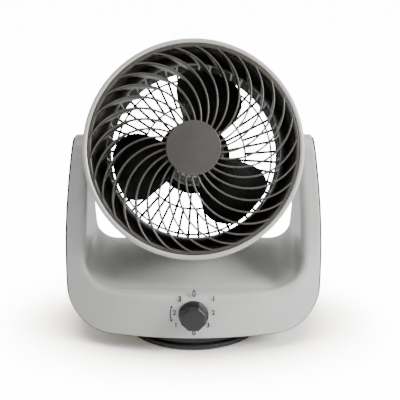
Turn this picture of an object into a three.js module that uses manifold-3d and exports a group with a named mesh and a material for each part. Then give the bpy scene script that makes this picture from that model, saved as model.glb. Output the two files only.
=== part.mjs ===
// Desk air circulator: a fan head that tilts in a U-shaped stand, which swings from side to side on a round foot.
// Millimetres and degrees. +Z is up, the fan blows towards -Y, and the origin is on the floor under the swivel axis.
import * as THREE from "three";
import { mergeVertices } from "three/addons/utils/BufferGeometryUtils.js";
import Module from "manifold-3d";

const wasm = await Module();
wasm.setup();

// ---------- Driving dimensions ----------

const gap = 0.3; // between pieces that touch
const wall = 2.4; // moulded covers
const restTilt = 20; // the head looks up this much at rest

// Foot
const footRadius = 75;
const footThickness = 5.8;
const padRadius = 7;
const padHeight = 2.4;
const padProud = 1.2; // how far the rubber pads stand out of the foot
const padInset = 15; // pad centres inside the foot's edge
const padCount = 5;
const footRim = 4.5; // outside the raised rail that carries the stand
const railWidth = 8;
const railHeight = 6;
const postRadius = 6;
const swingAngle = 40; // either side

// Oscillation drive
const driveCanRadius = 21;
const driveCanHeight = 17;
const crankBossRadius = 5;
const crankClearance = 1.65; // between the crank's sweep and the rail
const crankPinRadius = 2.5;
const crankThickness = 4;
const slotClearance = 1.8; // round the crank pin: the slot lets the pin wander as the crank turns

// Stand
const standBottom = 16;
const panelHeight = 53;
const overhangFront = 8; // past the foot
const overhangBack = 3;
const panelCurve = 300; // plan radius of the bulged front
const armThickness = 21.5;
const armNarrowing = 6.24; // the bowed sides come in by this much up at the pivots
const sideWidest = 95; // height at which the stand is widest
const cornerRadius = 48;
const wellCorner = 32;
const sillSweep = 22; // the well's lower corners are this much rounder at the sill
const wellTaper = 0.062; // narrowing of the well per millimetre towards the back
const valleyDrop = 7; // the well's floor falls this far behind the front sill
const lipRise = 22; // and rises this far to its back lip
const lipDepth = 50; // back lip behind the swivel axis
const armTopRadius = 21;
const reveal = 1.2; // the rear shell stands this far outside the front shell
const faceDepth = 3; // thickness of the front shell's face
const glandRadius = 5;

// Control
const knobHeight = 46;
const knobSkirtRadius = 16;
const knobSkirtThickness = 3;
const knobFlats = 26.8;
const knobReach = 14;
const knobSides = 8;
const switchSize = 26;
const switchDepth = 15;
const switchShaftRadius = 3;

// Head: distances ahead of the tilt axis along the fan's own axis
const headRadius = 116;
const headReach = 50;
const headClearance = 12.7; // under the swinging bezel
const bezelDepth = 13;
const bezelWidth = 5;
const housingRear = -45;
const housingDraft = 12; // the housing is this much smaller in radius at the back
const throatRadius = 93;
const throatFront = 20;
const throatRear = 12;
const tipClearance = 4.5;
const capRadius = 28.5;
const capReach = 64;
const tiltPinRadius = 5;
const tiltBossRadius = 13;

// Grilles
const swirlRibs = 30;
const swirlMiss = 1.15; // each rib is an arc of a circle that passes this far from the axis
const swirlBeyond = 6.25; // and on the other side reaches this far past the rim
const swirlPhase = -9.9; // clockwise from the top
const ribWidth = 2;
const ribDepth = 8;
const vaneClearance = 4; // between the deep outer parts of the ribs and the duct
const guardRibs = 48; // the rear guard has this many ribs outside, half as many inside
const guardRibWidth = 2.2;
const guardRibDepth = 4;
const guardOuterRing = 89;
const guardInnerRing = 59.5;
const guardReach = -73; // back face of the drum-shaped rear guard

// Fan and motor
const bladeCount = 3;
const hubRadius = 27;
const bladeThickness = 2.2;
const bladeHalfDepth = 19;
const shaftRadius = 4;
const motorRadius = 34;
const motorFront = -32;
const motorCapDepth = 13;
const motorSides = 24; // facets of the round motor parts and of the cup that holds them
const stackLength = 20;
const rotorRadius = 16.5;
const coverOverhang = 8; // the motor cover is this much larger in radius than the motor
const coverBevel = 14; // its flat back is this much smaller than its lip
const screwRadius = 2;

// ---------- Sizes that follow ----------

const bezelSwing = Math.hypot(headRadius, headReach);
const sill = standBottom + panelHeight;
const pivotHeight = sill - valleyDrop + bezelSwing + headClearance;
const standFront = -(footRadius + overhangFront);
const standBack = footRadius + overhangBack;
const wellHalf = headRadius + 0.5; // half width of the well at its front
const wellFront = standFront + 23; // where the arms' front edges start, in plan
const standHalf = wellHalf + armThickness;
const sideCurve = (pivotHeight - sideWidest) ** 2 / (2 * armNarrowing);
const footTop = padProud + footThickness;
const coverTop = standBottom + wall; // inside of the base cover
const railRadius = footRadius - footRim - railWidth; // inside of the rail
// The crank pin swings the stand by swingAngle and just clears the rail at its furthest.
const swingSin = Math.sin(THREE.MathUtils.degToRad(swingAngle));
const driveOffset = (railRadius - crankBossRadius - crankClearance) / (1 + swingSin);
const crankRadius = driveOffset * swingSin;
const crankBottom = footTop + 1.3;
const impellerRadius = throatRadius - tipClearance;
const housingFront = headReach - bezelDepth;
const coverRadius = motorRadius + coverOverhang;
const coverFlat = coverRadius - coverBevel;
// The head reaches as far back over the foot as the knob stands out in front.
const tiltSin = Math.sin(THREE.MathUtils.degToRad(restTilt));
const tiltCos = Math.cos(THREE.MathUtils.degToRad(restTilt));
const coverReach = -(knobReach - standFront - coverFlat * tiltSin) / tiltCos;

// ---------- Materials ----------

const finish = (color, roughness, metalness = 0) =>
  new THREE.MeshStandardMaterial({ color, roughness, metalness });
const pearlGrey = finish(0xc9cbc9, 0.35);
const charcoal = finish(0x3b3a37, 0.5);
const blackPlastic = finish(0x161616, 0.45);
const capGrey = finish(0x4c4b48, 0.5);
const rubber = finish(0x111111, 0.9);
const acetal = finish(0xe8e6df, 0.4);
const steel = finish(0xa8aaad, 0.35, 1);
const laminations = finish(0x6f7276, 0.5, 1);
const copper = finish(0xb4693a, 0.4, 1);
const bronze = finish(0xb08d4c, 0.4, 1);

// ---------- Making solids ----------

const rad = THREE.MathUtils.degToRad;
const v3 = (x, y, z) => new THREE.Vector3(x, y, z);

// A closed three.js geometry as a solid that can be joined and cut.
function solid(geometry) {
  const bare = new THREE.BufferGeometry();
  bare.setAttribute("position", geometry.getAttribute("position"));
  if (geometry.index) bare.setIndex(geometry.index);
  const merged = mergeVertices(bare, 1e-3);
  const corners = [];
  for (let i = 0; i < merged.index.count; i += 3) {
    const [a, b, c] = merged.index.array.slice(i, i + 3);
    if (a !== b && b !== c && a !== c) corners.push(a, b, c);
  }
  return new wasm.Manifold(
    new wasm.Mesh({
      numProp: 3,
      vertProperties: new Float32Array(merged.attributes.position.array),
      triVerts: new Uint32Array(corners),
    }),
  );
}

function geometryOf(body) {
  const { vertProperties, triVerts, numProp, numVert } = body.getMesh();
  const positions = new Float32Array(numVert * 3);
  for (let i = 0; i < numVert; i++)
    positions.set(vertProperties.subarray(i * numProp, i * numProp + 3), i * 3);
  const geometry = new THREE.BufferGeometry();
  geometry.setAttribute("position", new THREE.BufferAttribute(positions, 3));
  geometry.setIndex(new THREE.BufferAttribute(triVerts, 1));
  const flat = geometry.toNonIndexed();
  flat.computeVertexNormals();
  return flat;
}

function area(points) {
  return points.reduce((sum, [x, y], i) => {
    const [u, v] = points[(i + 1) % points.length];
    return sum + (x * v - u * y) / 2;
  }, 0);
}

// A closed profile of [radius, distance along Y], turned about the Y axis.
function turned(profile, segments = 64) {
  const loop = area(profile) > 0 ? [...profile] : [...profile].reverse();
  loop.push(loop[0]);
  const points = loop.map(([r, y]) => new THREE.Vector2(r, y));
  return solid(new THREE.LatheGeometry(points, segments));
}

// The same about Z, for the foot and what is on the swivel axis.
const turnedUpright = (profile, segments) => turned(profile, segments).rotate([90, 0, 0]);

// An outline of [x, y], extruded by depth along Z.
function prism(outline, depth) {
  const shape = new THREE.Shape(outline.map(([x, y]) => new THREE.Vector2(x, y)));
  return solid(new THREE.ExtrudeGeometry(shape, { depth, bevelEnabled: false }));
}

function box(low, high) {
  const size = high.map((h, i) => h - low[i]);
  const centre = high.map((h, i) => (h + low[i]) / 2);
  return solid(new THREE.BoxGeometry(...size).translate(...centre));
}

// A cylinder between two points.
function rod(from, to, radius, segments = 20) {
  const axis = to.clone().sub(from);
  const geometry = new THREE.CylinderGeometry(radius, radius, axis.length(), segments);
  geometry.applyQuaternion(
    new THREE.Quaternion().setFromUnitVectors(v3(0, 1, 0), axis.normalize()),
  );
  const centre = from.clone().add(to).multiplyScalar(0.5);
  return solid(geometry.translate(centre.x, centre.y, centre.z));
}

// A loft: rings of points with the same count, joined in order and closed at both ends.
function loft(rings) {
  const n = rings[0].length;
  const positions = rings.flat().flatMap((p) => [p.x, p.y, p.z]);
  const index = [];
  for (let s = 0; s + 1 < rings.length; s++)
    for (let i = 0; i < n; i++) {
      const a = s * n + i;
      const b = s * n + ((i + 1) % n);
      index.push(a, b, a + n, b, b + n, a + n);
    }
  const capOf = (ring, first, flip) => {
    const centre = positions.length / 3;
    const middle = ring.reduce((sum, p) => sum.add(p), v3(0, 0, 0)).divideScalar(n);
    positions.push(middle.x, middle.y, middle.z);
    for (let i = 0; i < n; i++) {
      const [p, q] = [first + i, first + ((i + 1) % n)];
      index.push(centre, ...(flip ? [q, p] : [p, q]));
    }
  };
  capOf(rings[0], 0, true);
  capOf(rings.at(-1), (rings.length - 1) * n, false);
  const geometry = new THREE.BufferGeometry();
  geometry.setAttribute("position", new THREE.Float32BufferAttribute(positions, 3));
  geometry.setIndex(index);
  const made = solid(geometry);
  if (made.volume() > 0) return made;
  for (let i = 0; i < index.length; i += 3) [index[i], index[i + 1]] = [index[i + 1], index[i]];
  geometry.setIndex(index);
  return solid(geometry);
}

// A bar of rectangular section along stations of { at, across, deep }: half widths as vectors.
const bar = (stations) =>
  loft(
    stations.map(({ at, across, deep }) =>
      [
        [-1, -1],
        [1, -1],
        [1, 1],
        [-1, 1],
      ].map(([i, j]) => at.clone().addScaledVector(across, i).addScaledVector(deep, j)),
    ),
  );

// Points along an arc in the plane, from one angle to another in degrees.
const arc = (cx, cy, radius, from, to, steps) =>
  Array.from({ length: steps + 1 }, (_, i) => {
    const a = rad(from + ((to - from) * i) / steps);
    return [cx + radius * Math.cos(a), cy + radius * Math.sin(a)];
  });

const bezier = (p, q, r, steps) =>
  new THREE.QuadraticBezierCurve(
    new THREE.Vector2(...p),
    new THREE.Vector2(...q),
    new THREE.Vector2(...r),
  )
    .getPoints(steps)
    .map(({ x, y }) => [x, y]);

const group = new THREE.Group();
const head = new THREE.Group();
head.position.set(0, 0, pivotHeight);
head.rotation.x = -rad(restTilt);
group.add(head);

function add(name, body, material, parent = group) {
  const mesh = new THREE.Mesh(geometryOf(body), material);
  mesh.name = name;
  parent.add(mesh);
}

// Screw with a round head; the shank runs from the seat towards the tip.
function screw(seat, direction, length) {
  const tip = seat.clone().addScaledVector(direction, length);
  const back = seat.clone().addScaledVector(direction, -1.6);
  const overlap = seat.clone().addScaledVector(direction, -0.5);
  return rod(overlap, tip, screwRadius, 10).add(rod(seat, back, screwRadius * 1.9, 12));
}

// ---------- Foot ----------

// The slot for the crank pin, straight back from the swivel axis.
const pinNear = driveOffset - crankRadius;
const pinFar = driveOffset + crankRadius;

function makeFoot() {
  const railTop = footTop + railHeight;
  const railOuter = railRadius + railWidth;
  const postTop = coverTop + 0.1;
  const screwHole = screwRadius + gap;
  let plate = turnedUpright([
    [0, padProud],
    [footRadius, padProud],
    [footRadius - 1, footTop - 1],
    [footRadius - 2.6, footTop],
    [railOuter, footTop],
    [railOuter, railTop],
    [railRadius, railTop],
    [railRadius, footTop],
    [postRadius, footTop],
    [postRadius, postTop],
    [0, postTop],
  ], 40);
  const half = crankPinRadius + slotClearance;
  const slot = [
    ...arc(0, pinNear, half, 180, 360, 6),
    ...arc(0, pinFar, half, 0, 180, 6),
  ];
  plate = plate.subtract(prism(slot, footThickness).translate([0, 0, padProud + 2]));
  plate = plate.subtract(rod(v3(0, 0, padProud + 2.4), v3(0, 0, postTop + 1), screwHole, 16));
  for (let i = 0; i < padCount; i++) {
    const a = rad(-90 + (i * 360) / padCount);
    const [x, y] = [(footRadius - padInset) * Math.cos(a), (footRadius - padInset) * Math.sin(a)];
    const pocket = rod(v3(x, y, 0), v3(x, y, padHeight + gap), padRadius + gap, 14);
    plate = plate.subtract(pocket);
    const pad = rod(v3(x, y, 0), v3(x, y, padHeight), padRadius, 14);
    add(`foot_pad_${i + 1}`, pad, rubber);
  }
  add("foot_plate", plate, charcoal);

  // Acetal ring on the rail: the stand slides round on it.
  const ringInner = railRadius + 1;
  const ringOuter = railOuter - 1.5;
  const slideRing = turnedUpright([
    [ringInner, railTop + gap],
    [ringOuter, railTop + gap],
    [ringOuter, standBottom - gap],
    [ringInner, standBottom - gap],
  ], 40);
  add("slide_ring", slideRing, acetal);

  // Washer and screw that hold the stand down on the post.
  const washerLow = postTop + gap;
  const washerRadius = driveOffset - driveCanRadius - 1;
  const washer = turnedUpright([
    [screwRadius + gap, washerLow],
    [washerRadius, washerLow],
    [washerRadius, washerLow + 2],
    [screwRadius + gap, washerLow + 2],
  ], 20);
  add("swivel_washer", washer, steel);
  const seat = v3(0, 0, washerLow + 2 + gap);
  add("swivel_screw", screw(seat, v3(0, 0, -1), seat.z - padProud - 3), steel);
}

// ---------- Oscillation drive ----------

function makeDrive() {
  const at = (z) => v3(0, driveOffset, z);
  const canLow = coverTop + gap;
  const crankTop = crankBottom + crankThickness;
  const shaftTop = canLow + 6;
  const boss = crankBossRadius;
  const outline = [
    ...arc(0, driveOffset, boss + 1, 180, 360, 10),
    ...arc(0, pinFar, boss, 0, 180, 10),
  ];
  const pin = rod(v3(0, pinFar, padProud + 3), v3(0, pinFar, crankBottom + 0.5), crankPinRadius, 20);
  let crank = prism(outline, crankThickness).translate([0, 0, crankBottom]).add(pin);
  crank = crank.subtract(rod(at(crankBottom + 1), at(crankTop + 1), 2.5 + gap, 20));
  add("crank_arm", crank, acetal);
  add("drive_shaft", rod(at(crankBottom + 1 + gap), at(shaftTop), 2.5, 20), steel);

  const canTop = canLow + driveCanHeight;
  let can = rod(at(canLow), at(canTop), driveCanRadius, 32);
  const lugReach = driveCanRadius + 7;
  for (const side of [-1, 1]) {
    const x = side * lugReach;
    const lug = [
      ...arc(x, driveOffset, 4, side > 0 ? -90 : 90, side > 0 ? 90 : 270, 4),
      [side * (driveCanRadius - 2), driveOffset + 4 * side],
      [side * (driveCanRadius - 2), driveOffset - 4 * side],
    ];
    can = can.add(prism(lug, 1.5).translate([0, 0, canLow]));
    can = can.subtract(
      rod(v3(x, driveOffset, canLow - 1), v3(x, driveOffset, canLow + 3), screwRadius + gap, 12),
    );
    const seat = v3(x, driveOffset, canLow + 1.5 + gap);
    add(`drive_motor_screw_${side > 0 ? "right" : "left"}`, screw(seat, v3(0, 0, -1), 3.2), steel);
  }
  can = can.subtract(rod(at(canLow - 1), at(shaftTop + gap), 2.5 + gap, 20));
  add("drive_motor", can, steel);
}

// ---------- Stand ----------

const halfWidthAt = (z) => standHalf - (z - sideWidest) ** 2 / (2 * sideCurve);

// Front outline in X and Z, drawn in by o all round.
function frontOutline(o) {
  const low = standBottom + o;
  const r = cornerRadius - o;
  const half = halfWidthAt(low + r) - o;
  const top = pivotHeight + armTopRadius + 5;
  const side = [];
  for (let i = 1; i <= 4; i++) {
    const z = low + r + ((top - low - r) * i) / 4;
    side.push([halfWidthAt(z) - o, z]);
  }
  const right = [...arc(half - r, low + r, r, -90, 0, 8), ...side];
  const left = right.map(([x, z]) => [-x, z]).reverse();
  return [...right, ...left];
}

// Side outline in Y and Z: upright panel, arm leaning back to a round top, sloping back.
function sideOutline(o) {
  const low = standBottom + o;
  const front = standFront + o;
  const back = standBack - o;
  const r = armTopRadius - o;
  const shoulder = sill - 3;
  const lip = sill - valleyDrop + lipRise;
  return [
    [front, low],
    ...bezier([front, shoulder], [front + 31, shoulder + 24], [-r, pivotHeight], 6),
    ...arc(0, pivotHeight, r, 170, 10, 8),
    ...bezier([r, pivotHeight], [r + 11, pivotHeight - 75], [lipDepth + 4 - o, lip + 8], 4),
    ...bezier([back - 7, standBottom + 34], [back, standBottom + 24], [back, low + 8], 3),
    [back - 5, low],
  ];
}

// Plan outline: bulged front, straight sides, rounded back corners.
function planOutline(o) {
  const reach = standHalf - o;
  const r = panelCurve - o;
  const centre = standFront + panelCurve;
  const angle = THREE.MathUtils.radToDeg(Math.asin(reach / r));
  const back = standBack - o;
  const soft = 34;
  return [
    ...arc(0, centre, r, -90 - angle, -90 + angle, 12),
    ...arc(reach - soft, back - soft, soft, 0, 90, 5),
    ...arc(-reach + soft, back - soft, soft, 90, 180, 5),
  ];
}

function standBlock(o) {
  const tall = 400;
  const long = 600;
  const front = prism(frontOutline(o), long).rotate([90, 0, 0]).translate([0, long / 2, 0]);
  const side = prism(sideOutline(o), long).rotate([90, 0, 90]).translate([-long / 2, 0, 0]);
  const plan = prism(planOutline(o), tall);
  return front.intersect(side).intersect(plan);
}

const wellTurn = standFront + 42; // the lowest point of the well's floor

// 0 at the lowest point of the floor, 1 at the sill or at the back lip, and an even rise between.
function wellRise(y) {
  const end = y < wellTurn ? standFront : lipDepth;
  const s = Math.min(1, (y - wellTurn) / (end - wellTurn));
  return s * s * (3 - 2 * s);
}

// Floor of the well under the head: sill, valley, back lip.
function wellFloor(y) {
  return sill - valleyDrop + (y < wellTurn ? valleyDrop : lipRise) * wellRise(y);
}

// The open well between the arms, grown by o on every wall.
function well(o) {
  const tall = pivotHeight + 200;
  const stations = [-140, standFront - 1];
  const steps = 9;
  for (let i = 0; i <= steps; i++)
    stations.push(standFront + ((lipDepth - standFront) * i) / steps);
  stations.push(140);
  return loft(
    stations.map((y) => {
      const half = wellHalf - wellTaper * Math.max(0, y - wellFront) + o;
      const floor = wellFloor(y) - o;
      const narrowing = y > 0 ? Math.min(y, lipDepth) * 0.2 : 0;
      const r = wellCorner + (y < wellTurn ? sillSweep * wellRise(y) : 0) - narrowing + o;
      const right = arc(half - r, floor + r, r, -90, 0, 6);
      const outline = [...right, [half, tall], ...right.map(([x, z]) => [-x, z]), [-half, tall]];
      const left = outline.slice(right.length + 1, -1).reverse();
      const ring = [...right, [half, tall], [-half, tall], ...left];
      return ring.map(([x, z]) => v3(x, y, z));
    }),
  );
}

function makeStand() {
  const skin = standBlock(0);
  const face = standBlock(reveal);
  const openWell = well(0);
  const panelBack = standFront + reveal + faceDepth;

  // Front shell: the face, and the lining of the well behind it.
  const faceLayer = face.subtract(standBlock(reveal - 0.05).translate([0, faceDepth, 0]));
  const lining = well(wall).intersect(face);
  let front = faceLayer.add(lining).subtract(openWell);
  front = front.subtract(rod(v3(0, standFront - 2, knobHeight), v3(0, panelBack + 2, knobHeight), 5.2));
  const liningHalf = wellHalf + wellTaper * wellFront;
  const pivotHole = rod(v3(-standHalf, 0, pivotHeight), v3(standHalf, 0, pivotHeight), tiltPinRadius + gap);
  const reachIn = liningHalf + wall + 4;
  const liningBore = pivotHole.intersect(
    box([-reachIn, -20, pivotHeight - 20], [reachIn, 20, pivotHeight + 20]),
  );
  front = front.subtract(liningBore);
  add("stand_front_shell", front, pearlGrey);

  // Rear shell: sides and back, and a ledge behind the face.
  const behind = skin
    .intersect(skin.translate([0, faceDepth + reveal + gap, 0]))
    .subtract(faceLayer.translate([0, gap, gap]))
    .subtract(faceLayer);
  const hollow = standBlock(wall);
  const clearOfLining = well(wall + gap);
  const seam = coverTop + gap;
  const high = pivotHeight + 100;
  let rear = behind.subtract(hollow).subtract(clearOfLining);
  rear = rear.intersect(box([-300, -300, seam], [300, 300, high]));
  const glandHeight = standBottom + 20;
  const glandAt = (y) => v3(standHalf * 0.45, y, glandHeight);
  rear = rear.subtract(rod(glandAt(0), glandAt(standBack + 20), glandRadius + gap, 16));

  // Bosses in the corners, webbed to the side walls, take the screws of the base cover.
  const screwAt = [-1, 1].flatMap((side) => [
    [side, side * (standHalf - 58), -38],
    [side, side * (standHalf - 58), 48],
  ]);
  const bossHigh = seam + 12;
  const tap = screwRadius + gap;
  for (const [side, x, y] of screwAt) {
    const web = [Math.min(x, side * standHalf), Math.max(x, side * standHalf)];
    const post = rod(v3(x, y, seam), v3(x, y, bossHigh), 5, 10)
      .add(box([web[0], y - 1.5, seam], [web[1], y + 1.5, bossHigh - 1]))
      .intersect(behind);
    rear = rear.add(post).subtract(rod(v3(x, y, seam - 1), v3(x, y, bossHigh + 1), tap, 8));
  }
  add("stand_rear_shell", rear, charcoal);

  const gland = rod(glandAt(standBack - wall - 3), glandAt(standBack + 3), glandRadius).subtract(
    rod(glandAt(standBack - wall - 5), glandAt(standBack + 6), glandRadius - 1.8),
  );
  add("cord_gland", gland, rubber);

  // Base cover under the stand.
  let cover = behind.intersect(box([-300, -300, 0], [300, 300, coverTop]));
  cover = cover.subtract(rod(v3(0, 0, 0), v3(0, 0, coverTop + 1), postRadius + gap + 0.2, 24));
  cover = cover.subtract(rod(v3(0, driveOffset, 0), v3(0, driveOffset, coverTop + 1), 4, 20));
  for (const [i, [, x, y]] of screwAt.entries()) {
    cover = cover.subtract(rod(v3(x, y, 0), v3(x, y, coverTop + 1), tap, 8));
    add(`cover_screw_${i + 1}`, screw(v3(x, y, standBottom - gap), v3(0, 0, 1), 12), steel);
  }
  for (const side of [-1, 1]) {
    const x = side * (driveCanRadius + 7);
    cover = cover.subtract(rod(v3(x, driveOffset, 0), v3(x, driveOffset, coverTop + 1), tap, 8));
  }
  add("base_cover", cover, charcoal);
}

// ---------- Control knob and switch ----------

function makeControl() {
  const at = (y) => v3(0, y, knobHeight);
  const panelFace = standFront + reveal;
  const skirtBack = panelFace - gap - 0.4;
  const skirtFront = skirtBack - knobSkirtThickness;
  const faceAt = standFront - knobReach;
  const corner = knobFlats / 2 / Math.cos(Math.PI / knobSides);
  const octagon = arc(0, 0, corner, 180 / knobSides, 360 + 180 / knobSides, knobSides).slice(0, -1);
  let knob = turned([
    [0, skirtFront],
    [knobSkirtRadius - 1, skirtFront],
    [knobSkirtRadius, skirtFront + 1],
    [knobSkirtRadius, skirtBack],
    [0, skirtBack],
  ], 36).translate([0, 0, knobHeight]);
  const grip = prism(octagon, skirtFront - faceAt + 0.5).rotate([90, 0, 0]);
  knob = knob.add(grip.translate([0, skirtFront + 0.5, knobHeight]));
  const shaftTip = faceAt + 3;
  knob = knob.subtract(rod(at(shaftTip - gap), at(skirtBack + 1), switchShaftRadius + gap, 16));
  add("control_knob", knob, blackPlastic);

  const half = switchSize / 2;
  const panelBack = panelFace + faceDepth + gap + half ** 2 / (2 * panelCurve);
  let body = box(
    [-half, panelBack, knobHeight - half + 2],
    [half, panelBack + switchDepth, knobHeight + half - 2],
  );
  body = body.subtract(rod(at(panelBack - 1), at(panelBack + switchDepth - 3 + gap), switchShaftRadius + gap, 16));
  add("rotary_switch", body, blackPlastic);
  add("switch_shaft", rod(at(shaftTip), at(panelBack + switchDepth - 3), switchShaftRadius, 16), steel);
}

// ---------- Tilt pivots ----------

function makePivots() {
  const bushRadius = tiltPinRadius + 4;
  const inner = wellHalf + wellTaper * (wellFront + bushRadius) + wall + gap;
  for (const [name, side] of [
    ["left", -1],
    ["right", 1],
  ]) {
    const at = (x) => v3(side * x, 0, 0);
    const high = (x) => v3(side * x, 0, pivotHeight);
    const bush = rod(high(inner), high(inner + 7), bushRadius).subtract(
      rod(high(inner - 1), high(inner + 8), tiltPinRadius + gap),
    );
    add(`tilt_bush_${name}`, bush, acetal);
    const pinFrom = headRadius - 17;
    const pinTo = halfWidthAt(pivotHeight) - wall - 1.6;
    add(`tilt_pin_${name}`, rod(at(pinFrom), at(pinTo), tiltPinRadius), steel, head);
    const washer = rod(at(inner + 7 + gap), at(inner + 9 + gap), tiltPinRadius + 3.4).subtract(
      rod(at(inner + 6), at(inner + 12), tiltPinRadius + gap),
    );
    add(`friction_washer_${name}`, washer, steel, head);
  }
}

// ---------- Fan head ----------

// Front surface of the swirl grille: a shallow dome from the rim to the cap.
const rimReach = headReach - 1;
const rimRadius = headRadius - bezelWidth - gap;
const swirlArcOffset = (rimRadius + swirlBeyond + swirlMiss) / 2;
const swirlArcRadius = (rimRadius + swirlBeyond - swirlMiss) / 2;
const ductMouth = rimRadius - 4.5;
const domeAt = (r) => rimReach + (capReach - 3 - rimReach) * (1 - (r / rimRadius) ** 2);

function makeHousing() {
  const back = headRadius - housingDraft;
  const skirt = headRadius - 3;
  const outer = [
    [skirt, housingFront - gap],
    [headRadius - 6.5, housingFront - 15],
    [back + 2, housingRear + 8],
    [back - 3, housingRear],
  ];
  const inner = [
    [back - 8, housingRear],
    [back - 8, housingRear + wall],
    [back - wall, housingRear + wall + 4],
    [headRadius - 6.5 - wall, housingFront - 15],
    [skirt - wall, housingFront - gap],
  ];
  const profile = [...outer, ...inner].map(([r, d]) => [r, -d]);
  let housing = turned(profile, 50);
  const bossEnd = wellHalf + wellTaper * wellFront - 1.2;
  for (const side of [-1, 1]) {
    const at = (x) => v3(side * x, 0, 0);
    housing = housing.add(rod(at(headRadius - 11.5), at(bossEnd), tiltBossRadius, 24));
    housing = housing.subtract(rod(at(headRadius - 20), at(bossEnd + 2), tiltPinRadius + gap));
  }
  add("head_housing", housing, pearlGrey, head);

  const inside = headRadius - bezelWidth;
  const bezel = turned(
    [
      [inside, headReach - 0.6],
      [inside + 1.2, headReach],
      [headRadius - 1.4, headReach],
      [headRadius, headReach - 3.5],
      [headRadius - 0.8, headReach - 9],
      [headRadius - 3, housingFront],
      [inside - 2, housingFront],
      [inside - 2, housingFront + 2],
      [inside, housingFront + 2],
    ].map(([r, d]) => [r, -d]),
    54,
  );
  add("front_bezel", bezel, pearlGrey, head);
}

function makeDuct() {
  // Air duct: a flare behind the grille, then the throat round the blades.
  const mouth = ductMouth;
  const profile = [
    [mouth, rimReach - 10 - gap],
    [throatRadius + 4, throatFront + 4],
    [throatRadius, throatFront - 4],
    [throatRadius, throatRear],
    [throatRadius + 2, throatRear],
    [throatRadius + 2, throatFront - 2],
    [mouth + 2.5, rimReach - 12],
    [mouth + 2.5, rimReach - 10 - gap],
  ];
  add("air_duct", turned(profile.map(([r, d]) => [r, -d]), 50), charcoal, head);
}

// Back edge of a rib: shallow over the blades, deep beside the duct, where it turns the air.
function ribBackAt(r) {
  const shallow = domeAt(r) - ribDepth;
  const flareFront = rimReach - 10 - gap;
  const flareStart = throatRadius + 4;
  const slope = (flareFront - throatFront - 4) / (ductMouth - flareStart);
  const duct = throatFront + 4 + slope * Math.max(0, r - flareStart) + vaneClearance;
  const s = THREE.MathUtils.smoothstep(r, throatRadius - 25, throatRadius - 5);
  return Math.min(shallow, shallow + (duct - shallow) * s);
}

function makeFrontGrille() {
  const hub = capRadius - 0.6;
  const disc = turned(
    [
      [0, domeAt(0) - 7],
      [hub, domeAt(hub) - ribDepth],
      [hub, domeAt(hub)],
      [0, domeAt(hub)],
    ].map(([r, d]) => [r, -d]),
    30,
  );
  const rimInner = rimRadius - 4.4;
  const rim = turned(
    [
      [rimInner, housingFront + 2 + gap],
      [rimRadius, housingFront + 2 + gap],
      [rimRadius, rimReach],
      [rimInner + 0.5, rimReach],
      [rimInner, rimReach - 1],
    ].map(([r, d]) => [r, -d]),
    60,
  );

  // Each rib is an arc from the hub out to the rim, following the dome. The arc's own angle
  // is counted from the line that runs from the fan's axis through the arc's centre.
  const arcAngleAt = (r) =>
    Math.acos(
      (r * r - swirlArcOffset ** 2 - swirlArcRadius ** 2) / (2 * swirlArcOffset * swirlArcRadius),
    );
  const from = arcAngleAt(hub - 1.5);
  const to = arcAngleAt(rimInner + 1.5);
  const steps = 7;
  let grille = disc.add(rim);
  for (let k = 0; k < swirlRibs; k++) {
    const lean = rad(swirlPhase) + (2 * Math.PI * k) / swirlRibs;
    const centre = v3(Math.sin(lean), 0, Math.cos(lean)).multiplyScalar(swirlArcOffset);
    const stations = [];
    for (let i = 0; i <= steps; i++) {
      const turn = lean + from + ((to - from) * i) / steps;
      const outward = v3(Math.sin(turn), 0, Math.cos(turn));
      const at = centre.clone().addScaledVector(outward, swirlArcRadius);
      const r = Math.hypot(at.x, at.z);
      const depth = domeAt(r) - ribBackAt(r);
      at.y = -(domeAt(r) - depth / 2);
      const across = outward.multiplyScalar(ribWidth / 2);
      stations.push({ at, across, deep: v3(0, depth / 2, 0) });
    }
    grille = grille.add(bar(stations));
  }
  add("front_grille", grille, charcoal, head);

  const capBack = domeAt(hub) + gap;
  const cap = turned(
    [
      [0, capBack],
      [capRadius, capBack],
      [capRadius, capReach - 2],
      [capRadius - 0.8, capReach - 0.9],
      [capRadius * 0.6, capReach - 0.25],
      [0, capReach],
    ].map(([r, d]) => [r, -d]),
    40,
  );
  add("centre_cap", cap, capGrey, head);
}

// Rear guard: a drum of ribs. Each rib runs out from the motor over the flat back, turns the
// corner and runs forward to the rim on the housing.
const guardHub = motorRadius + 2;
const guardRim = headRadius - housingDraft - 8;
const guardCorner = 6;
// The top of the guard leans back as far as the motor cover, and no further.
const guardEdge = guardOuterRing + guardRibWidth / 2;
const guardEdgeAt = (guardEdge * tiltSin + gap - knobReach + standFront) / tiltCos + guardRibDepth - 0.4;
const guardSlope = (guardEdgeAt - guardReach) / (guardEdge - guardHub);
const guardAt = (r) => guardReach + guardSlope * (r - guardHub);

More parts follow.
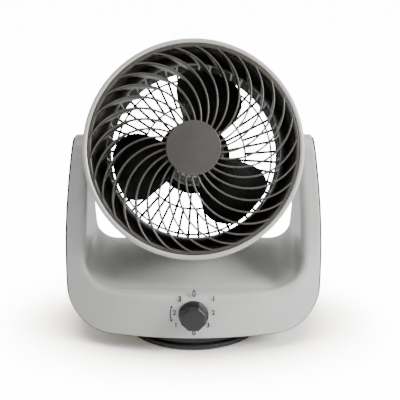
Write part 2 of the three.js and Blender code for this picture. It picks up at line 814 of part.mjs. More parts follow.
function makeRearGuard(motorBack) {
  const rimOuter = guardRim + 4.5;
  const rim = turned(
    [
      [guardRim - 2.5, housingRear - 4],
      [rimOuter, housingRear - 4],
      [rimOuter, housingRear - gap],
      [guardRim - 2.5, housingRear - gap],
    ].map(([r, d]) => [r, -d]),
    guardRibs,
  );
  // A hoop moulded on the back of the ribs.
  const hoop = (radius) => {
    const [low, high] = [radius - guardRibWidth / 2, radius + guardRibWidth / 2];
    const front = guardAt(radius) + 0.4;
    return turned(
      [
        [low, front - guardRibDepth],
        [high, front - guardRibDepth],
        [high, front],
        [low, front],
      ].map(([r, d]) => [r, -d]),
      guardRibs / 2,
    );
  };
  // Cup that carries the motor by its rear cap.
  const cupInside = motorRadius + gap;
  const cupBack = motorBack - gap;
  const cup = turned(
    [
      [cupInside - 8, cupBack - wall],
      [guardHub + 1, cupBack - wall],
      [guardHub + 1, guardReach + 4],
      [cupInside, guardReach + 4],
      [cupInside, cupBack],
      [cupInside - 8, cupBack],
    ].map(([r, d]) => [r, -d]),
    motorSides,
  );
  let guard = rim.add(hoop(guardOuterRing)).add(hoop(guardInnerRing)).add(cup);
  const turnIn = guardRim - guardCorner;
  for (let k = 0; k < guardRibs; k++) {
    const a = (2 * Math.PI * (k + 0.5)) / guardRibs;
    const outward = v3(Math.sin(a), 0, Math.cos(a));
    const across = v3(outward.z, 0, -outward.x).multiplyScalar(guardRibWidth / 2);
    const half = guardRibDepth / 2 - 0.3;
    const from = k % 2 ? guardInnerRing : guardHub;
    // Radius and depth of the rib's middle line, and which way it is deep there.
    const path = [
      [from, guardAt(from), 0, 1],
      [turnIn, guardAt(turnIn), 0.3, 1],
      [guardRim - 1, guardAt(turnIn) + guardCorner, 1, 0.3],
      [guardRim, housingRear - 2, 1, 0],
    ];
    const stations = path.map(([r, d, out, back]) => {
      const at = outward.clone().multiplyScalar(r);
      at.y = -d;
      const deep = outward.clone().multiplyScalar(out).add(v3(0, back, 0));
      return { at, across, deep: deep.setLength(half) };
    });
    guard = guard.add(bar(stations));
  }
  add("rear_guard", guard, charcoal, head);
}

// Dished cover over the back of the motor.
function makeRearCover() {
  const lip = guardAt(coverRadius) - guardRibDepth / 2 - gap;
  const profile = [
    [0, coverReach],
    [coverFlat, coverReach],
    [coverRadius - 2, coverReach + 8],
    [coverRadius, lip],
    [coverRadius - wall, lip],
    [coverRadius - wall - 2, coverReach + 9],
    [coverFlat - 1, coverReach + wall],
    [0, coverReach + wall],
  ];
  add("rear_cover", turned(profile.map(([r, d]) => [r, -d]), 36), charcoal, head);
}

// ---------- Fan and motor ----------

function makeImpeller() {
  const front = 30;
  const back = -27;
  const hubWall = 3;
  let impeller = turned(
    [
      [0, front],
      [hubRadius - 6, front],
      [hubRadius, front - 7],
      [hubRadius, back],
      [hubRadius - hubWall, back],
      [hubRadius - hubWall, front - 9],
      [shaftRadius + 5, front - 7],
      [shaftRadius + 5, back + 12],
      [0, back + 12],
    ].map(([r, d]) => [r, -d]),
    30,
  );
  // Blade edges in degrees clockwise from the blade's middle, and the helix that carries them.
  const rows = 6;
  const columns = 5;
  const inside = hubRadius - 2;
  const bladeMiddle = 17;
  for (let k = 0; k < bladeCount; k++) {
    const sheet = (offset) =>
      Array.from({ length: rows + 1 }, (_, i) => {
        const s = i / rows;
        const r = inside + (impellerRadius - inside) * s;
        const lead = 33 + 4 * Math.sin(Math.PI * s) - 14 * s ** 6;
        const trail = 36 - 8 * s - 12 * s ** 6;
        return Array.from({ length: columns + 1 }, (_, j) => {
          const u = (2 * j) / columns - 1;
          const sweep = -5 * s + (u < 0 ? u * trail : u * lead);
          const a = rad(bladeMiddle + (360 * k) / bladeCount + sweep);
          const d = -u * bladeHalfDepth * (1 - 0.35 * s) + 3 * (1 - u * u) * s;
          return v3(r * Math.sin(a), -(d + offset), r * Math.cos(a));
        });
      });
    const [upper, lower] = [sheet(bladeThickness / 2), sheet(-bladeThickness / 2)];
    const rings = upper.map((row, i) => [...row, ...[...lower[i]].reverse()]);
    impeller = impeller.add(loft(rings));
  }
  const bore = shaftRadius + gap;
  impeller = impeller.subtract(rod(v3(0, -front - 1, 0), v3(0, -back + 1, 0), bore, 20));
  add("impeller", impeller, blackPlastic, head);

  const nutBack = front + gap;
  const nut = turned(
    [
      [bore, nutBack],
      [11, nutBack],
      [10, nutBack + 8],
      [7, nutBack + 11],
      [0, nutBack + 12],
      [0, nutBack + 9],
      [bore, nutBack + 9],
    ].map(([r, d]) => [r, -d]),
    24,
  );
  add("impeller_nut", nut, blackPlastic, head);
  return nutBack + 9 - gap;
}

function makeMotor(shaftFront) {
  const along = (d) => v3(0, -d, 0);
  const capBack = motorFront - motorCapDepth;
  const stackFront = capBack - gap;
  const stackBack = stackFront - stackLength;
  const rearFront = stackBack - gap;
  const rearBack = rearFront - motorCapDepth;
  const sheetMetal = 1.6;
  const bushOuter = shaftRadius + 5;
  const bore = shaftRadius + gap;

  // A pressed cup with a seat for the bearing; sign is +1 for the front one.
  const cup = (closed, open, sign) =>
    turned(
      [
        [bore + 1, closed],
        [motorRadius - 4, closed],
        [motorRadius, closed - 4 * sign],
        [motorRadius, open],
        [motorRadius - sheetMetal, open],
        [motorRadius - sheetMetal, closed - 5 * sign],
        [motorRadius - 5, closed - sheetMetal * sign],
        [bushOuter + gap + sheetMetal, closed - sheetMetal * sign],
        [bushOuter + gap + sheetMetal, closed - 8 * sign],
        [bushOuter + gap, closed - 8 * sign],
        [bushOuter + gap, closed - sheetMetal * sign],
        [bore + 1, closed - sheetMetal * sign],
      ].map(([r, d]) => [r, -d]),
      motorSides,
    );
  add("motor_front_cap", cup(motorFront, capBack, 1), steel, head);
  add("motor_rear_cap", cup(rearBack, rearFront, -1), steel, head);

  const bearing = (d, sign) =>
    rod(along(d - sign * (1.6 + gap)), along(d - sign * 7.5), bushOuter, 16).subtract(
      rod(along(d - 9), along(d + 9), bore, 16),
    );
  add("bearing_front", bearing(motorFront, 1), bronze, head);
  add("bearing_rear", bearing(rearBack, -1), bronze, head);

  const ringOf = (inner, outer, from, to, segments = motorSides) =>
    turned(
      [
        [inner, from],
        [outer, from],
        [outer, to],
        [inner, to],
      ].map(([r, d]) => [r, -d]),
      segments,
    );
  const windingInner = rotorRadius + 2.5;
  const windingOuter = motorRadius - 5;
  add("motor_stator", ringOf(rotorRadius + 0.6, motorRadius - gap, stackFront, stackBack), laminations, head);
  add("winding_front", ringOf(windingInner, windingOuter, stackFront + 7, stackFront + gap), copper, head);
  add("winding_rear", ringOf(windingInner, windingOuter, stackBack - gap, stackBack - 7), copper, head);
  add("motor_rotor", ringOf(shaftRadius + gap, rotorRadius, stackFront - 0.5, stackBack + 0.5), laminations, head);
  add("motor_shaft", rod(along(shaftFront), along(rearBack + 1), shaftRadius, 16), steel, head);
  return rearBack;
}

makeFoot();
makeDrive();
makeStand();
makeControl();
makePivots();
makeHousing();
makeDuct();
makeFrontGrille();
makeRearGuard(makeMotor(makeImpeller()));
makeRearCover();

export default group;
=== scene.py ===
import math

import bmesh
import bpy
from mathutils import Matrix, Vector


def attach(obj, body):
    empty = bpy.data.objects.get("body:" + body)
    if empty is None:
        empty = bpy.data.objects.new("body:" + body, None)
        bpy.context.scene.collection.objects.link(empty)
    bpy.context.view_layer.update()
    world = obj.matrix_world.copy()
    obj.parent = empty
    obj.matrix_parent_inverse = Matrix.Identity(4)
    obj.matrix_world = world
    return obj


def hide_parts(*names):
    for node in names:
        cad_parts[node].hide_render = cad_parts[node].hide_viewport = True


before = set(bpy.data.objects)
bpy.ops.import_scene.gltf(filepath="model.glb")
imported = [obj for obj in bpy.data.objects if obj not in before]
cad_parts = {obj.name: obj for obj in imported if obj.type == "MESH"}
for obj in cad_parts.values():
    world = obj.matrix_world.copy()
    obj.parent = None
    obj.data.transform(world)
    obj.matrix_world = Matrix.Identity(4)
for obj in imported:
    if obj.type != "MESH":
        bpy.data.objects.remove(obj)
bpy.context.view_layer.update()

MM = 0.001

# ---------- Studio ----------
# A wide pale floor under plain soft light: a large key lamp high on the right, weaker lamps on the
# left, above and behind, and an even white room around them.


def linear(colour):
    """An sRGB hex colour as linear red, green, blue and alpha."""
    channels = [int(colour[i : i + 2], 16) / 255 for i in (1, 3, 5)]
    return [c / 12.92 if c <= 0.04045 else ((c + 0.055) / 1.055) ** 2.4 for c in channels] + [1.0]


def node(tree, kind, settings=None, **inputs):
    """Adds a node. An input given as a socket is linked to it, and any other is set."""
    new = tree.nodes.new(kind)
    for name, value in (settings or {}).items():
        setattr(new, name, value)
    for name, value in inputs.items():
        numbered = name[0] == "i" and name[1:].isdigit()
        socket = new.inputs[int(name[1:]) if numbered else name.replace("_", " ")]
        if isinstance(value, bpy.types.NodeSocket):
            tree.links.new(value, socket)
        else:
            socket.default_value = value
    return new


def new_material(name):
    """An empty material, its node tree and its output node."""
    material = bpy.data.materials.new(name)
    material.use_nodes = True
    material.node_tree.nodes.clear()
    output = material.node_tree.nodes.new("ShaderNodeOutputMaterial")
    return material, material.node_tree, output


FLOOR_HALF = 30.0  # metres
FIBRE = 2.5  # mm, coarser than real paper so that it shows
GLOW = 14.0
SHADE_REACH = 0.11  # metres over which the sweep's glow is painted darker under the object, a painted shadow
SHADE_DEEP = 0.35  # share of open sky at which the painted shade is full, and at which it ends
SHADE_END = 0.97
SHADE_GLOW = 0.25

floor_mesh = bpy.data.meshes.new("floor")
floor_mesh.from_pydata(
    [(x * FLOOR_HALF, y * FLOOR_HALF, 0) for x, y in ((-1, -1), (1, -1), (1, 1), (-1, 1))],
    [],
    [(0, 1, 2, 3)],
)
floor = bpy.data.objects.new("floor", floor_mesh)
bpy.context.scene.collection.objects.link(floor)

paper, tree, output = new_material("White paper sweep, matt, with painted shadow")
place = node(tree, "ShaderNodeTexCoord")
fibre = node(tree, "ShaderNodeTexNoise", Vector=place.outputs["Object"], Scale=1 / (FIBRE * MM))
pale, paler = linear("#fbfbfa"), linear("#fefefe")
tone = node(tree, "ShaderNodeMix", {"data_type": "RGBA"}, i0=fibre.outputs["Fac"], i6=pale, i7=paler)
shade = node(tree, "ShaderNodeBsdfPrincipled", Base_Color=tone.outputs[2], Roughness=0.9)
# The sweep also glows, so that it comes out white; only the lens sees that glow. Near the object the glow is
# painted darker and warmer, as a painted shadow.
seen = node(tree, "ShaderNodeLightPath")
near = node(tree, "ShaderNodeAmbientOcclusion", {"samples": 16}, Distance=SHADE_REACH)
open_sky = node(
    tree, "ShaderNodeMapRange", Value=near.outputs["AO"], From_Min=SHADE_DEEP, From_Max=SHADE_END
)
falloff = node(tree, "ShaderNodeMath", {"operation": "POWER"}, i0=open_sky.outputs[0], i1=2.0)
# Warm grey of the painted shadow under the object, fading to white away from it.
warm, white = linear("#d9d0bd"), linear("#ffffff")
shadow_tint = node(
    tree, "ShaderNodeMix", {"data_type": "RGBA"}, i0=falloff.outputs[0], i6=warm, i7=white
)
strength = node(tree, "ShaderNodeMapRange", Value=falloff.outputs[0], To_Min=SHADE_GLOW, To_Max=GLOW)
camera_ray = seen.outputs["Is Camera Ray"]
glow = node(tree, "ShaderNodeMath", {"operation": "MULTIPLY"}, i0=camera_ray, i1=strength.outputs[0])
glow_with_painted_shadow = node(tree, "ShaderNodeEmission", Color=shadow_tint.outputs[2], Strength=glow.outputs[0])
both = node(tree, "ShaderNodeAddShader", i0=shade.outputs[0], i1=glow_with_painted_shadow.outputs[0])
tree.links.new(both.outputs[0], output.inputs["Surface"])
floor.data.materials.append(paper)

room = bpy.data.worlds.new("white room")
bpy.context.scene.world = room
room.use_nodes = True
ROOM_LIGHT = 0.3
tree = room.node_tree
seen = node(tree, "ShaderNodeLightPath")
camera_ray = seen.outputs["Is Camera Ray"]
level = node(tree, "ShaderNodeMapRange", Value=camera_ray, To_Min=ROOM_LIGHT, To_Max=GLOW)
tree.links.new(level.outputs[0], tree.nodes["Background"].inputs["Strength"])
tree.nodes["Background"].inputs["Color"].default_value = white

LAMPS = (
    # name, place in metres, side of the square lamp, power in watts
    ("key", (1.7, -0.75, 1.15), 0.9, 92.0),
    ("fill", (-1.7, -0.4, 1.3), 1.2, 10.0),
    ("top", (0.0, -0.35, 1.9), 1.2, 14.0),
    ("back", (0.0, 1.5, 0.5), 1.8, 16.0),
)
AIM = Vector((0.0, 0.0, 0.1466))
for name, spot, side, power in LAMPS:
    light = bpy.data.lights.new(name, "AREA")
    light.size = side
    light.energy = power
    lamp = bpy.data.objects.new(name, light)
    lamp.location = spot
    lamp.rotation_euler = (AIM - lamp.location).to_track_quat("-Z", "Y").to_euler()
    lamp.visible_camera = False
    bpy.context.scene.collection.objects.link(lamp)

# The camera stands 1.2 m off and looks 18 degrees down.
CAMERA_DISTANCE = 1.2
CAMERA_RISE = math.radians(18)
FOCAL_LENGTH = 98.2
SENSOR_WIDTH = 36.0
SHIFT = 0.01625
lens = bpy.data.cameras.new("camera")
lens.lens = FOCAL_LENGTH
lens.sensor_width = SENSOR_WIDTH
lens.shift_x = SHIFT
camera = bpy.data.objects.new("camera", lens)
camera.location = AIM + CAMERA_DISTANCE * Vector((0, -math.cos(CAMERA_RISE), math.sin(CAMERA_RISE)))
camera.rotation_euler = (AIM - camera.location).to_track_quat("-Z", "Y").to_euler()
bpy.context.scene.collection.objects.link(camera)
bpy.context.scene.camera = camera

# ---------- Foot plate ----------
# A heavy charcoal ABS disc that stands on five rubber pads. It is moulded in one piece with the
# raised rail that the stand slides round on, the post it turns on and the slot for the crank pin.

FOOT_RADIUS = 75
FOOT_LOW = 1.2
FOOT_TOP = 7
RAIL_INSIDE = 62.5
RAIL_OUTSIDE = 70.5
RAIL_TOP = 13
POST_RADIUS = 6
POST_TOP = 18.5
SLOT_NEAR = 12.1
SLOT_FAR = 55.9
SLOT_HALF = 4.3
PAD_COUNT = 5
PAD_CIRCLE = 60
PAD_RADIUS = 7
PAD_TOP = 2.4


def curve(a, b, c, t):
    """A place on the curve that runs from a to c and bends towards b."""
    return a * (1 - t) ** 2 + b * 2 * t * (1 - t) + c * t * t


def soften(points, radii, steps=4, closed=True):
    """Rounds each corner of a line of points that has a radius, with a short curve."""
    points = [Vector(p) for p in points]
    count = len(points)
    line = []
    for i, (here, radius) in enumerate(zip(points, radii)):
        at_end = not closed and i in (0, count - 1)
        if at_end or radius <= 0:
            line.append(here)
            continue
        before = points[i - 1] - here
        after = points[(i + 1) % count] - here
        half_turn = before.angle(after, math.pi) / 2
        reach = radius / max(math.tan(half_turn), 0.15)
        reach = min(reach, 0.48 * before.length, 0.48 * after.length)
        start = here + before.normalized() * reach
        end = here + after.normalized() * reach
        line += [curve(start, here, end, step / steps) for step in range(steps + 1)]
    return line


class Shape:
    """Points in millimetres and faces, gathered for one piece."""

    def __init__(self):
        self.points = []
        self.faces = []

    def loft(self, rings, loop=False, capped=False, ring_closed=True, skip=None):
        """Skins rings that have the same number of points each."""
        first = len(self.points)
        size = len(rings[0])
        for ring in rings:
            self.points.extend(Vector(p) for p in ring)
        for i in range(len(rings) if loop else len(rings) - 1):
            a = first + i * size
            b = first + (i + 1) % len(rings) * size
            for j in range(size if ring_closed else size - 1):
                k = (j + 1) % size
                if skip and skip(i, j):
                    continue
                self.faces.append((a + j, a + k, b + k, b + j))
        if capped:
            end = len(self.points)
            self.faces.append(tuple(range(first, first + size)))
            self.faces.append(tuple(range(end - size, end)))
        return self


def revolve(shape, profile, place_point, segments=128):
    """Turns a profile of (radius, height) points round an axis."""
    rings = []
    for i in range(segments):
        angle = 2 * math.pi * i / segments
        rings.append([place_point(p[0], p[1], angle) for p in profile])
    return shape.loft(rings, loop=True)


def upright(radius, height, angle):
    """A point turned round the swivel axis."""
    return Vector((radius * math.cos(angle), radius * math.sin(angle), height))


def rounded_profile(points, radius, steps=4):
    """A closed profile with every corner rounded, or with one radius given for each corner."""
    radii = radius if isinstance(radius, (list, tuple)) else [radius] * len(points)
    return soften([(p[0], p[1], 0) for p in points], radii, steps)


def make(name, shape, body, material, slot, *stands_for, sharp=32):
    """Turns a shape into a piece that rides on its body."""
    mesh = bpy.data.meshes.new(name)
    mesh.from_pydata([p * MM for p in shape.points], [], shape.faces)
    work = bmesh.new()
    work.from_mesh(mesh)
    bmesh.ops.remove_doubles(work, verts=work.verts, dist=2e-6)
    bmesh.ops.dissolve_degenerate(work, edges=work.edges, dist=1e-6)
    loose = [v for v in work.verts if not v.link_faces]
    bmesh.ops.delete(work, geom=loose, context="VERTS")
    bmesh.ops.recalc_face_normals(work, faces=work.faces)
    work.to_mesh(mesh)
    work.free()
    mesh.polygons.foreach_set("use_smooth", [True] * len(mesh.polygons))
    mesh.set_sharp_from_angle(angle=math.radians(sharp))
    mesh.materials.append(material)
    piece = bpy.data.objects.new(name, mesh)
    bpy.context.scene.collection.objects.link(piece)
    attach(piece, body)
    if stands_for:
        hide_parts(*stands_for)
    return piece


def apply_modifiers(piece):
    """Bakes a piece's modifiers into its mesh."""
    graph = bpy.context.evaluated_depsgraph_get()
    done = bpy.data.meshes.new_from_object(piece.evaluated_get(graph))
    piece.modifiers.clear()
    piece.data = done


def cut(piece, cutter_shape):
    """Cuts a closed shape out of a piece."""
    mesh = bpy.data.meshes.new("cutter")
    mesh.from_pydata([p * MM for p in cutter_shape.points], [], cutter_shape.faces)
    work = bmesh.new()
    work.from_mesh(mesh)
    bmesh.ops.recalc_face_normals(work, faces=work.faces)
    work.to_mesh(mesh)
    work.free()
    cutter = bpy.data.objects.new("cutter", mesh)
    bpy.context.scene.collection.objects.link(cutter)
    trim = piece.modifiers.new("cut", "BOOLEAN")
    trim.object = cutter
    trim.operation = "DIFFERENCE"
    trim.solver = "EXACT"
    apply_modifiers(piece)
    bpy.data.objects.remove(cutter)


FLOW = 45  # mm between the slow changes of tone that the melt leaves
GLOSS_DRIFT = 0.04


def moulded_plastic(name, base, tint, roughness, grain, relief, fleck=0.25, coat=0.0):
    """An injection-moulded plastic: the grain, in mm, is the texture that the mould leaves, and
    the tint comes through in flecks and in slow changes of tone."""
    material, tree, output = new_material(name)
    place = node(tree, "ShaderNodeTexCoord")
    spot = place.outputs["Object"]
    fine = node(tree, "ShaderNodeTexNoise", Vector=spot, Scale=1 / (grain * MM), Detail=3.0)
    slow = node(tree, "ShaderNodeTexNoise", Vector=spot, Scale=1 / (FLOW * MM), Detail=2.0)
    broad, close = slow.outputs["Fac"], fine.outputs["Fac"]
    part = node(tree, "ShaderNodeMix", {"data_type": "FLOAT"}, i0=fleck, i2=broad, i3=close)
    spread = node(tree, "ShaderNodeMapRange", Value=part.outputs[0], From_Min=0.3, From_Max=0.7)
    colour = node(
        tree, "ShaderNodeMix", {"data_type": "RGBA"}, i0=spread.outputs[0], i6=linear(base), i7=linear(tint)
    )
    gloss = node(
        tree,
        "ShaderNodeMapRange",
        Value=slow.outputs["Fac"],
        From_Min=0.3,
        From_Max=0.7,
        To_Min=roughness - GLOSS_DRIFT,
        To_Max=roughness + GLOSS_DRIFT,
    )
    bump = node(
        tree, "ShaderNodeBump", Height=fine.outputs["Fac"], Strength=relief, Distance=grain * MM * 0.2
    )
    shader = node(
        tree,
        "ShaderNodeBsdfPrincipled",
        Base_Color=colour.outputs[2],
        Roughness=gloss.outputs[0],
        IOR=1.53,
        Normal=bump.outputs[0],
        Coat_Weight=coat,
        Coat_Roughness=0.3,
    )
    tree.links.new(shader.outputs[0], output.inputs["Surface"])
    return material


# Charcoal ABS, moulded against a spark-eroded surface: an even grain of about 0.6 mm, half matt.
charcoal_abs = moulded_plastic("Charcoal ABS, spark-eroded grain", "#0e0d0c", "#1c1b1a", 0.5, 0.6, 0.35)

foot_shape = Shape()
foot_profile = rounded_profile(
    [
        (0.4, FOOT_LOW),
        (FOOT_RADIUS, FOOT_LOW),
        (FOOT_RADIUS - 0.6, FOOT_TOP - 1.2),
        (FOOT_RADIUS - 2.6, FOOT_TOP),
        (RAIL_OUTSIDE, FOOT_TOP),
        (RAIL_OUTSIDE, RAIL_TOP),
        (RAIL_INSIDE, RAIL_TOP),
        (RAIL_INSIDE, FOOT_TOP),
        (POST_RADIUS, FOOT_TOP),
        (POST_RADIUS, POST_TOP),
        (0.4, POST_TOP),
    ],
    [0, 1, 0.8, 1.2, 0.8, 0.5, 0.5, 0.8, 1, 0.6, 0],
)
revolve(foot_shape, foot_profile, upright, 144)
foot = make("foot", foot_shape, "foot", charcoal_abs, "charcoal_plastic", "foot_plate")

slot_outline = []
for middle, start in ((SLOT_NEAR, math.pi), (SLOT_FAR, 0)):
    for step in range(13):
        turn = start + math.pi * step / 12
        slot_outline.append((SLOT_HALF * math.cos(turn), middle + SLOT_HALF * math.sin(turn)))
slot_rings = [[(x, y, z) for x, y in slot_outline] for z in (FOOT_LOW + 2, FOOT_TOP + 1)]
cut(foot, Shape().loft(slot_rings, capped=True))

# Rubber pads: die-cut from dull black sheet with a fine bloom, pressed into pockets under the foot.
pad_rubber = moulded_plastic("Black rubber, die-cut sheet", "#131313", "#1c1b1a", 0.85, 0.35, 0.5)
for i in range(PAD_COUNT):
    centre = upright(PAD_CIRCLE, 0, math.radians(-90 + 360 / PAD_COUNT * i))
    pocket_ring = [centre + upright(PAD_RADIUS + 0.3, 0, 2 * math.pi * k / 40) for k in range(40)]
    pocket = [[p + Vector((0, 0, z)) for p in pocket_ring] for z in (-1, PAD_TOP + 0.3)]
    cut(foot, Shape().loft(pocket, capped=True))
    pad_shape = Shape()
    pad_profile = rounded_profile(
        [(0.3, 0), (PAD_RADIUS, 0), (PAD_RADIUS, PAD_TOP), (0.3, PAD_TOP)], [0, 0.7, 0.3, 0]
    )
    revolve(pad_shape, pad_profile, lambda r, z, a: centre + upright(r, z, a), 48)
    make(f"rubber_pad_{i + 1}", pad_shape, "foot", pad_rubber, "rubber", f"foot_pad_{i + 1}")

# ---------- Slide ring, swivel washer and screw ----------
# White acetal ring between the foot and the stand, greased and loose on the rail. A zinc-plated
# washer and screw on the post hold the stand down.

SMALL_EDGE = 0.25  # mm, broken edge of the small turned and stamped parts


def carry(material, edge, *names):
    """Gives CAD nodes a finish, and breaks their sharp edges where an edge width is given."""
    for name in names:
        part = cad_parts[name]
        if not part.data.materials:
            part.data.materials.append(material)
        for slot in part.material_slots:
            slot.material = material
        if edge:
            weld = part.modifiers.new("weld", "WELD")
            weld.merge_threshold = 1e-6
            bevel = part.modifiers.new("edge", "BEVEL")
            bevel.width = edge * MM
            bevel.segments = 2
            bevel.limit_method = "ANGLE"
            bevel.angle_limit = math.radians(38)


# Acetal: milky, slightly waxy, with faint flow marks.
acetal = moulded_plastic("White acetal, moulded", "#e2e0d8", "#eceae4", 0.38, 0.9, 0.15)


def plated_steel(name, base, roughness, scratch):
    """Steel under a thin zinc plate: grey, with fine streaks from rolling; scratch in mm."""
    material, tree, output = new_material(name)
    place = node(tree, "ShaderNodeTexCoord")
    squash = node(tree, "ShaderNodeMapping", Vector=place.outputs["Object"], Scale=(1.0, 9.0, 1.0))
    streak = node(
        tree, "ShaderNodeTexNoise", Vector=squash.outputs[0], Scale=1 / (scratch * MM * 6), Detail=4.0
    )
    depth = streak.outputs["Fac"]
    bright = linear("#c9cbcc")
    colour = node(tree, "ShaderNodeMix", {"data_type": "RGBA"}, i0=depth, i6=linear(base), i7=bright)
    gloss = node(tree, "ShaderNodeMapRange", Value=depth, To_Min=roughness - 0.1, To_Max=roughness + 0.1)
    bump = node(tree, "ShaderNodeBump", Height=depth, Strength=0.15, Distance=scratch * MM)
    shader = node(
        tree,
        "ShaderNodeBsdfPrincipled",
        Base_Color=colour.outputs[2],
        Metallic=1.0,
        Roughness=gloss.outputs[0],
        Normal=bump.outputs[0],
    )
    tree.links.new(shader.outputs[0], output.inputs["Surface"])
    return material


# Zinc plate: bluish grey and half bright, with short soft streaks.
zinc_steel = plated_steel("Steel, zinc plated", "#8f9295", 0.36, 0.2)
carry(acetal, SMALL_EDGE, "slide_ring")
carry(zinc_steel, SMALL_EDGE, "swivel_washer", "swivel_screw")

# ---------- Oscillation drive ----------
# A small geared motor in a zinc-plated can turns an acetal crank. The crank's pin stands in the
# slot of the foot, so the whole stand swings from side to side.

carry(acetal, SMALL_EDGE, "crank_arm")
carry(zinc_steel, SMALL_EDGE, "drive_motor", "drive_shaft")
carry(zinc_steel, SMALL_EDGE, "drive_motor_screw_left", "drive_motor_screw_right")

# ---------- Stand, front shell ----------
# Silver ABS moulding in one piece: the bulged panel, the front edges of the two arms, and the
# lining of the well that the head hangs in. It clips into the rear shell all round.

SHELL_WALL = 2.4
PIVOT = 201.02  # height of the tilt axis
ARM_TOP = 21  # radius of the arms' round tops
STAND_LOW = 16
STAND_CORNER = 48
SIDE_HALF = 138  # half the stand's width where it is widest, and the height of that
SIDE_WIDEST = 95
SIDE_BOW = 1801.3

# The stand from the side: depths of its front and back edges, and the heights where they bend.
# Bare numbers in the curves are the depths they bend towards and the rates at which they climb.
PANEL_FRONT = -83
PANEL_TOP = 66
BACK_WAIST = 54
WAIST_HIGH = 92
BACK_LOWER = 71
WAIST_LOW = 50
BACK_DEEP = 78
HEEL = 24

# The stand from above: the bulged panel's curve, and the rounded corners of the back.
PANEL_CURVE = 300
PANEL_CENTRE = 217
BACK_CORNER = 34
CORNER_X = 104
CORNER_Y = 44

# The well that the head hangs in. Its floor falls from the sill to a valley and climbs to a lip.
WELL_HALF = 116.5
WELL_TAPER = 0.062
TAPER_START = -60
WELL_CORNER = 32
SILL_CORNER = 22  # the corner is this much rounder at the sill
WELL_TURN = -41
WELL_VALLEY = 62
SILL_RISE = 7
SILL_RUN = 42
LIP_RISE = 22
LIP_RUN = 91
LIP_DEPTH = 50

REVEAL = 1.2  # the rear shell stands this far outside the front shell
EDGE_REVEAL = 1.9  # and this far at the outline
TOP_SPAN = math.radians(108)  # the front shell runs on over the round top of the arm
SEAM_DEPTH = 4.2
SEAM_LAP = 0.4
EDGE_SOFT = 3.2
TOP_CREASE = 6.4
CREASE_SOFT = 13
LIP_SOFT = 6
LIP_TUCK = 7

# Silver pearl ABS: a pale grey resin with fine aluminium flake, satin from a polished mould.
silver_abs = moulded_plastic(
    "Silver pearl ABS, satin moulding", "#a6a7a5", "#b3b4b1", 0.33, 0.35, 0.12, fleck=0.6, coat=0.25
)


def smooth(value):
    """0 below 0, 1 above 1, and an even turn between."""
    value = min(1, max(0, value))
    return value * value * (3 - 2 * value)


def mix(a, b, t):
    return a + (b - a) * t


def half_width(z):
    """Half the stand's width at a height: the sides are gently bowed."""
    return SIDE_HALF - (z - SIDE_WIDEST) ** 2 / SIDE_BOW


def way_along(distance, rise, gain):
    """How far along a curve a height lies: the t for which rise * t + gain * t * t is distance."""
    return (-rise + math.sqrt(rise * rise + 4 * gain * distance)) / (2 * gain)


def arm_front(z):
    """How far back the front edge of an arm has leaned at a height."""
    if z <= PANEL_TOP:
        return PANEL_FRONT
    if z >= PIVOT:
        return -math.sqrt(max(0, ARM_TOP**2 - (z - PIVOT) ** 2))
    return curve(PANEL_FRONT, -52, -ARM_TOP, way_along(z - PANEL_TOP, 48, 87))


def arm_back(z):
    """Back of the stand in side view."""
    if z >= PIVOT:
        return math.sqrt(max(0, ARM_TOP**2 - (z - PIVOT) ** 2))
    if z > WAIST_HIGH:
        return curve(ARM_TOP, 32, BACK_WAIST, way_along(PIVOT - z, 150, -41))
    if z > WAIST_LOW:
        return BACK_LOWER - (BACK_LOWER - BACK_WAIST) * (z - WAIST_LOW) / (WAIST_HIGH - WAIST_LOW)
    if z > HEEL:
        return curve(BACK_LOWER, BACK_DEEP, BACK_DEEP, way_along(WAIST_LOW - z, 20, 6))
    return BACK_DEEP - 4 * ((HEEL - z) / 8) ** 2


def front_at(x, z):
    """Front of the stand: the bulged panel turns into the arms, most softly from 76 to 120 mm up."""
    bulge = PANEL_CENTRE - math.sqrt(PANEL_CURVE**2 - x * x)
    lean = arm_front(z)
    soft = 12 * smooth((z - 54) / 22) * (1 - smooth((z - 120) / 50))
    return (bulge + lean + math.sqrt((bulge - lean) ** 2 + soft**2)) / 2


def back_at(x, z):
    """Back of the stand, with its corners rounded in plan."""
    past = max(0, abs(x) - CORNER_X)
    plan = CORNER_Y + math.sqrt(max(0, BACK_CORNER**2 - past**2))
    slope = arm_back(z)
    return (plan + slope - math.sqrt((plan - slope) ** 2 + 4)) / 2


def well_half(y):
    return WELL_HALF - WELL_TAPER * max(0, y - TAPER_START)


def well_floor(y):
    if y < WELL_TURN:
        return WELL_VALLEY + SILL_RISE * smooth((WELL_TURN - y) / SILL_RUN)
    return WELL_VALLEY + LIP_RISE * smooth((y - WELL_TURN) / LIP_RUN)


def well_corner(y):
    at_sill = SILL_CORNER * smooth((WELL_TURN - y) / SILL_RUN)
    return WELL_CORNER - 0.2 * min(max(y, 0), LIP_DEPTH) + at_sill


def corner_at(u, half, low, r):
    """The corner of an outline from u = 1 to 2, and its bottom from there to 3."""
    if u <= 2:
        turn = (u - 1) * math.pi / 2
        return half - r + r * math.cos(turn), low + r - r * math.sin(turn)
    return (half - r) * (3 - u), low


def outer_at(u, inset):
    """Outline of the stand: u is 0 at the pivot, 1 where the corner starts, 2 where it ends, and
    3 in the middle of the bottom."""
    low = STAND_LOW + inset
    r = STAND_CORNER - inset
    if u <= 1:
        z = mix(PIVOT, low + r, u)
        return half_width(z) - inset, z
    return corner_at(u, half_width(low + r) - inset, low, r)


def inner_at(u, y, grow=0):
    """Outline of the well at a depth, matched to outer_at."""
    half = well_half(y) + grow
    low = well_floor(y) - grow
    r = well_corner(y) + grow
    if u <= 1:
        return half, mix(PIVOT, low + r, u)
    return corner_at(u, half, low, r)


# Stations down the right side, then mirrored up the left.
right_side = [i / 26 for i in range(27)]
right_side += [1 + i / 22 for i in range(1, 23)]
right_side += [2 + i / 26 for i in range(1, 27)]
around = [(u, 1) for u in right_side] + [(u, -1) for u in reversed(right_side[:-1])]

FACE_STEPS = 16
LINING_STEPS = 22


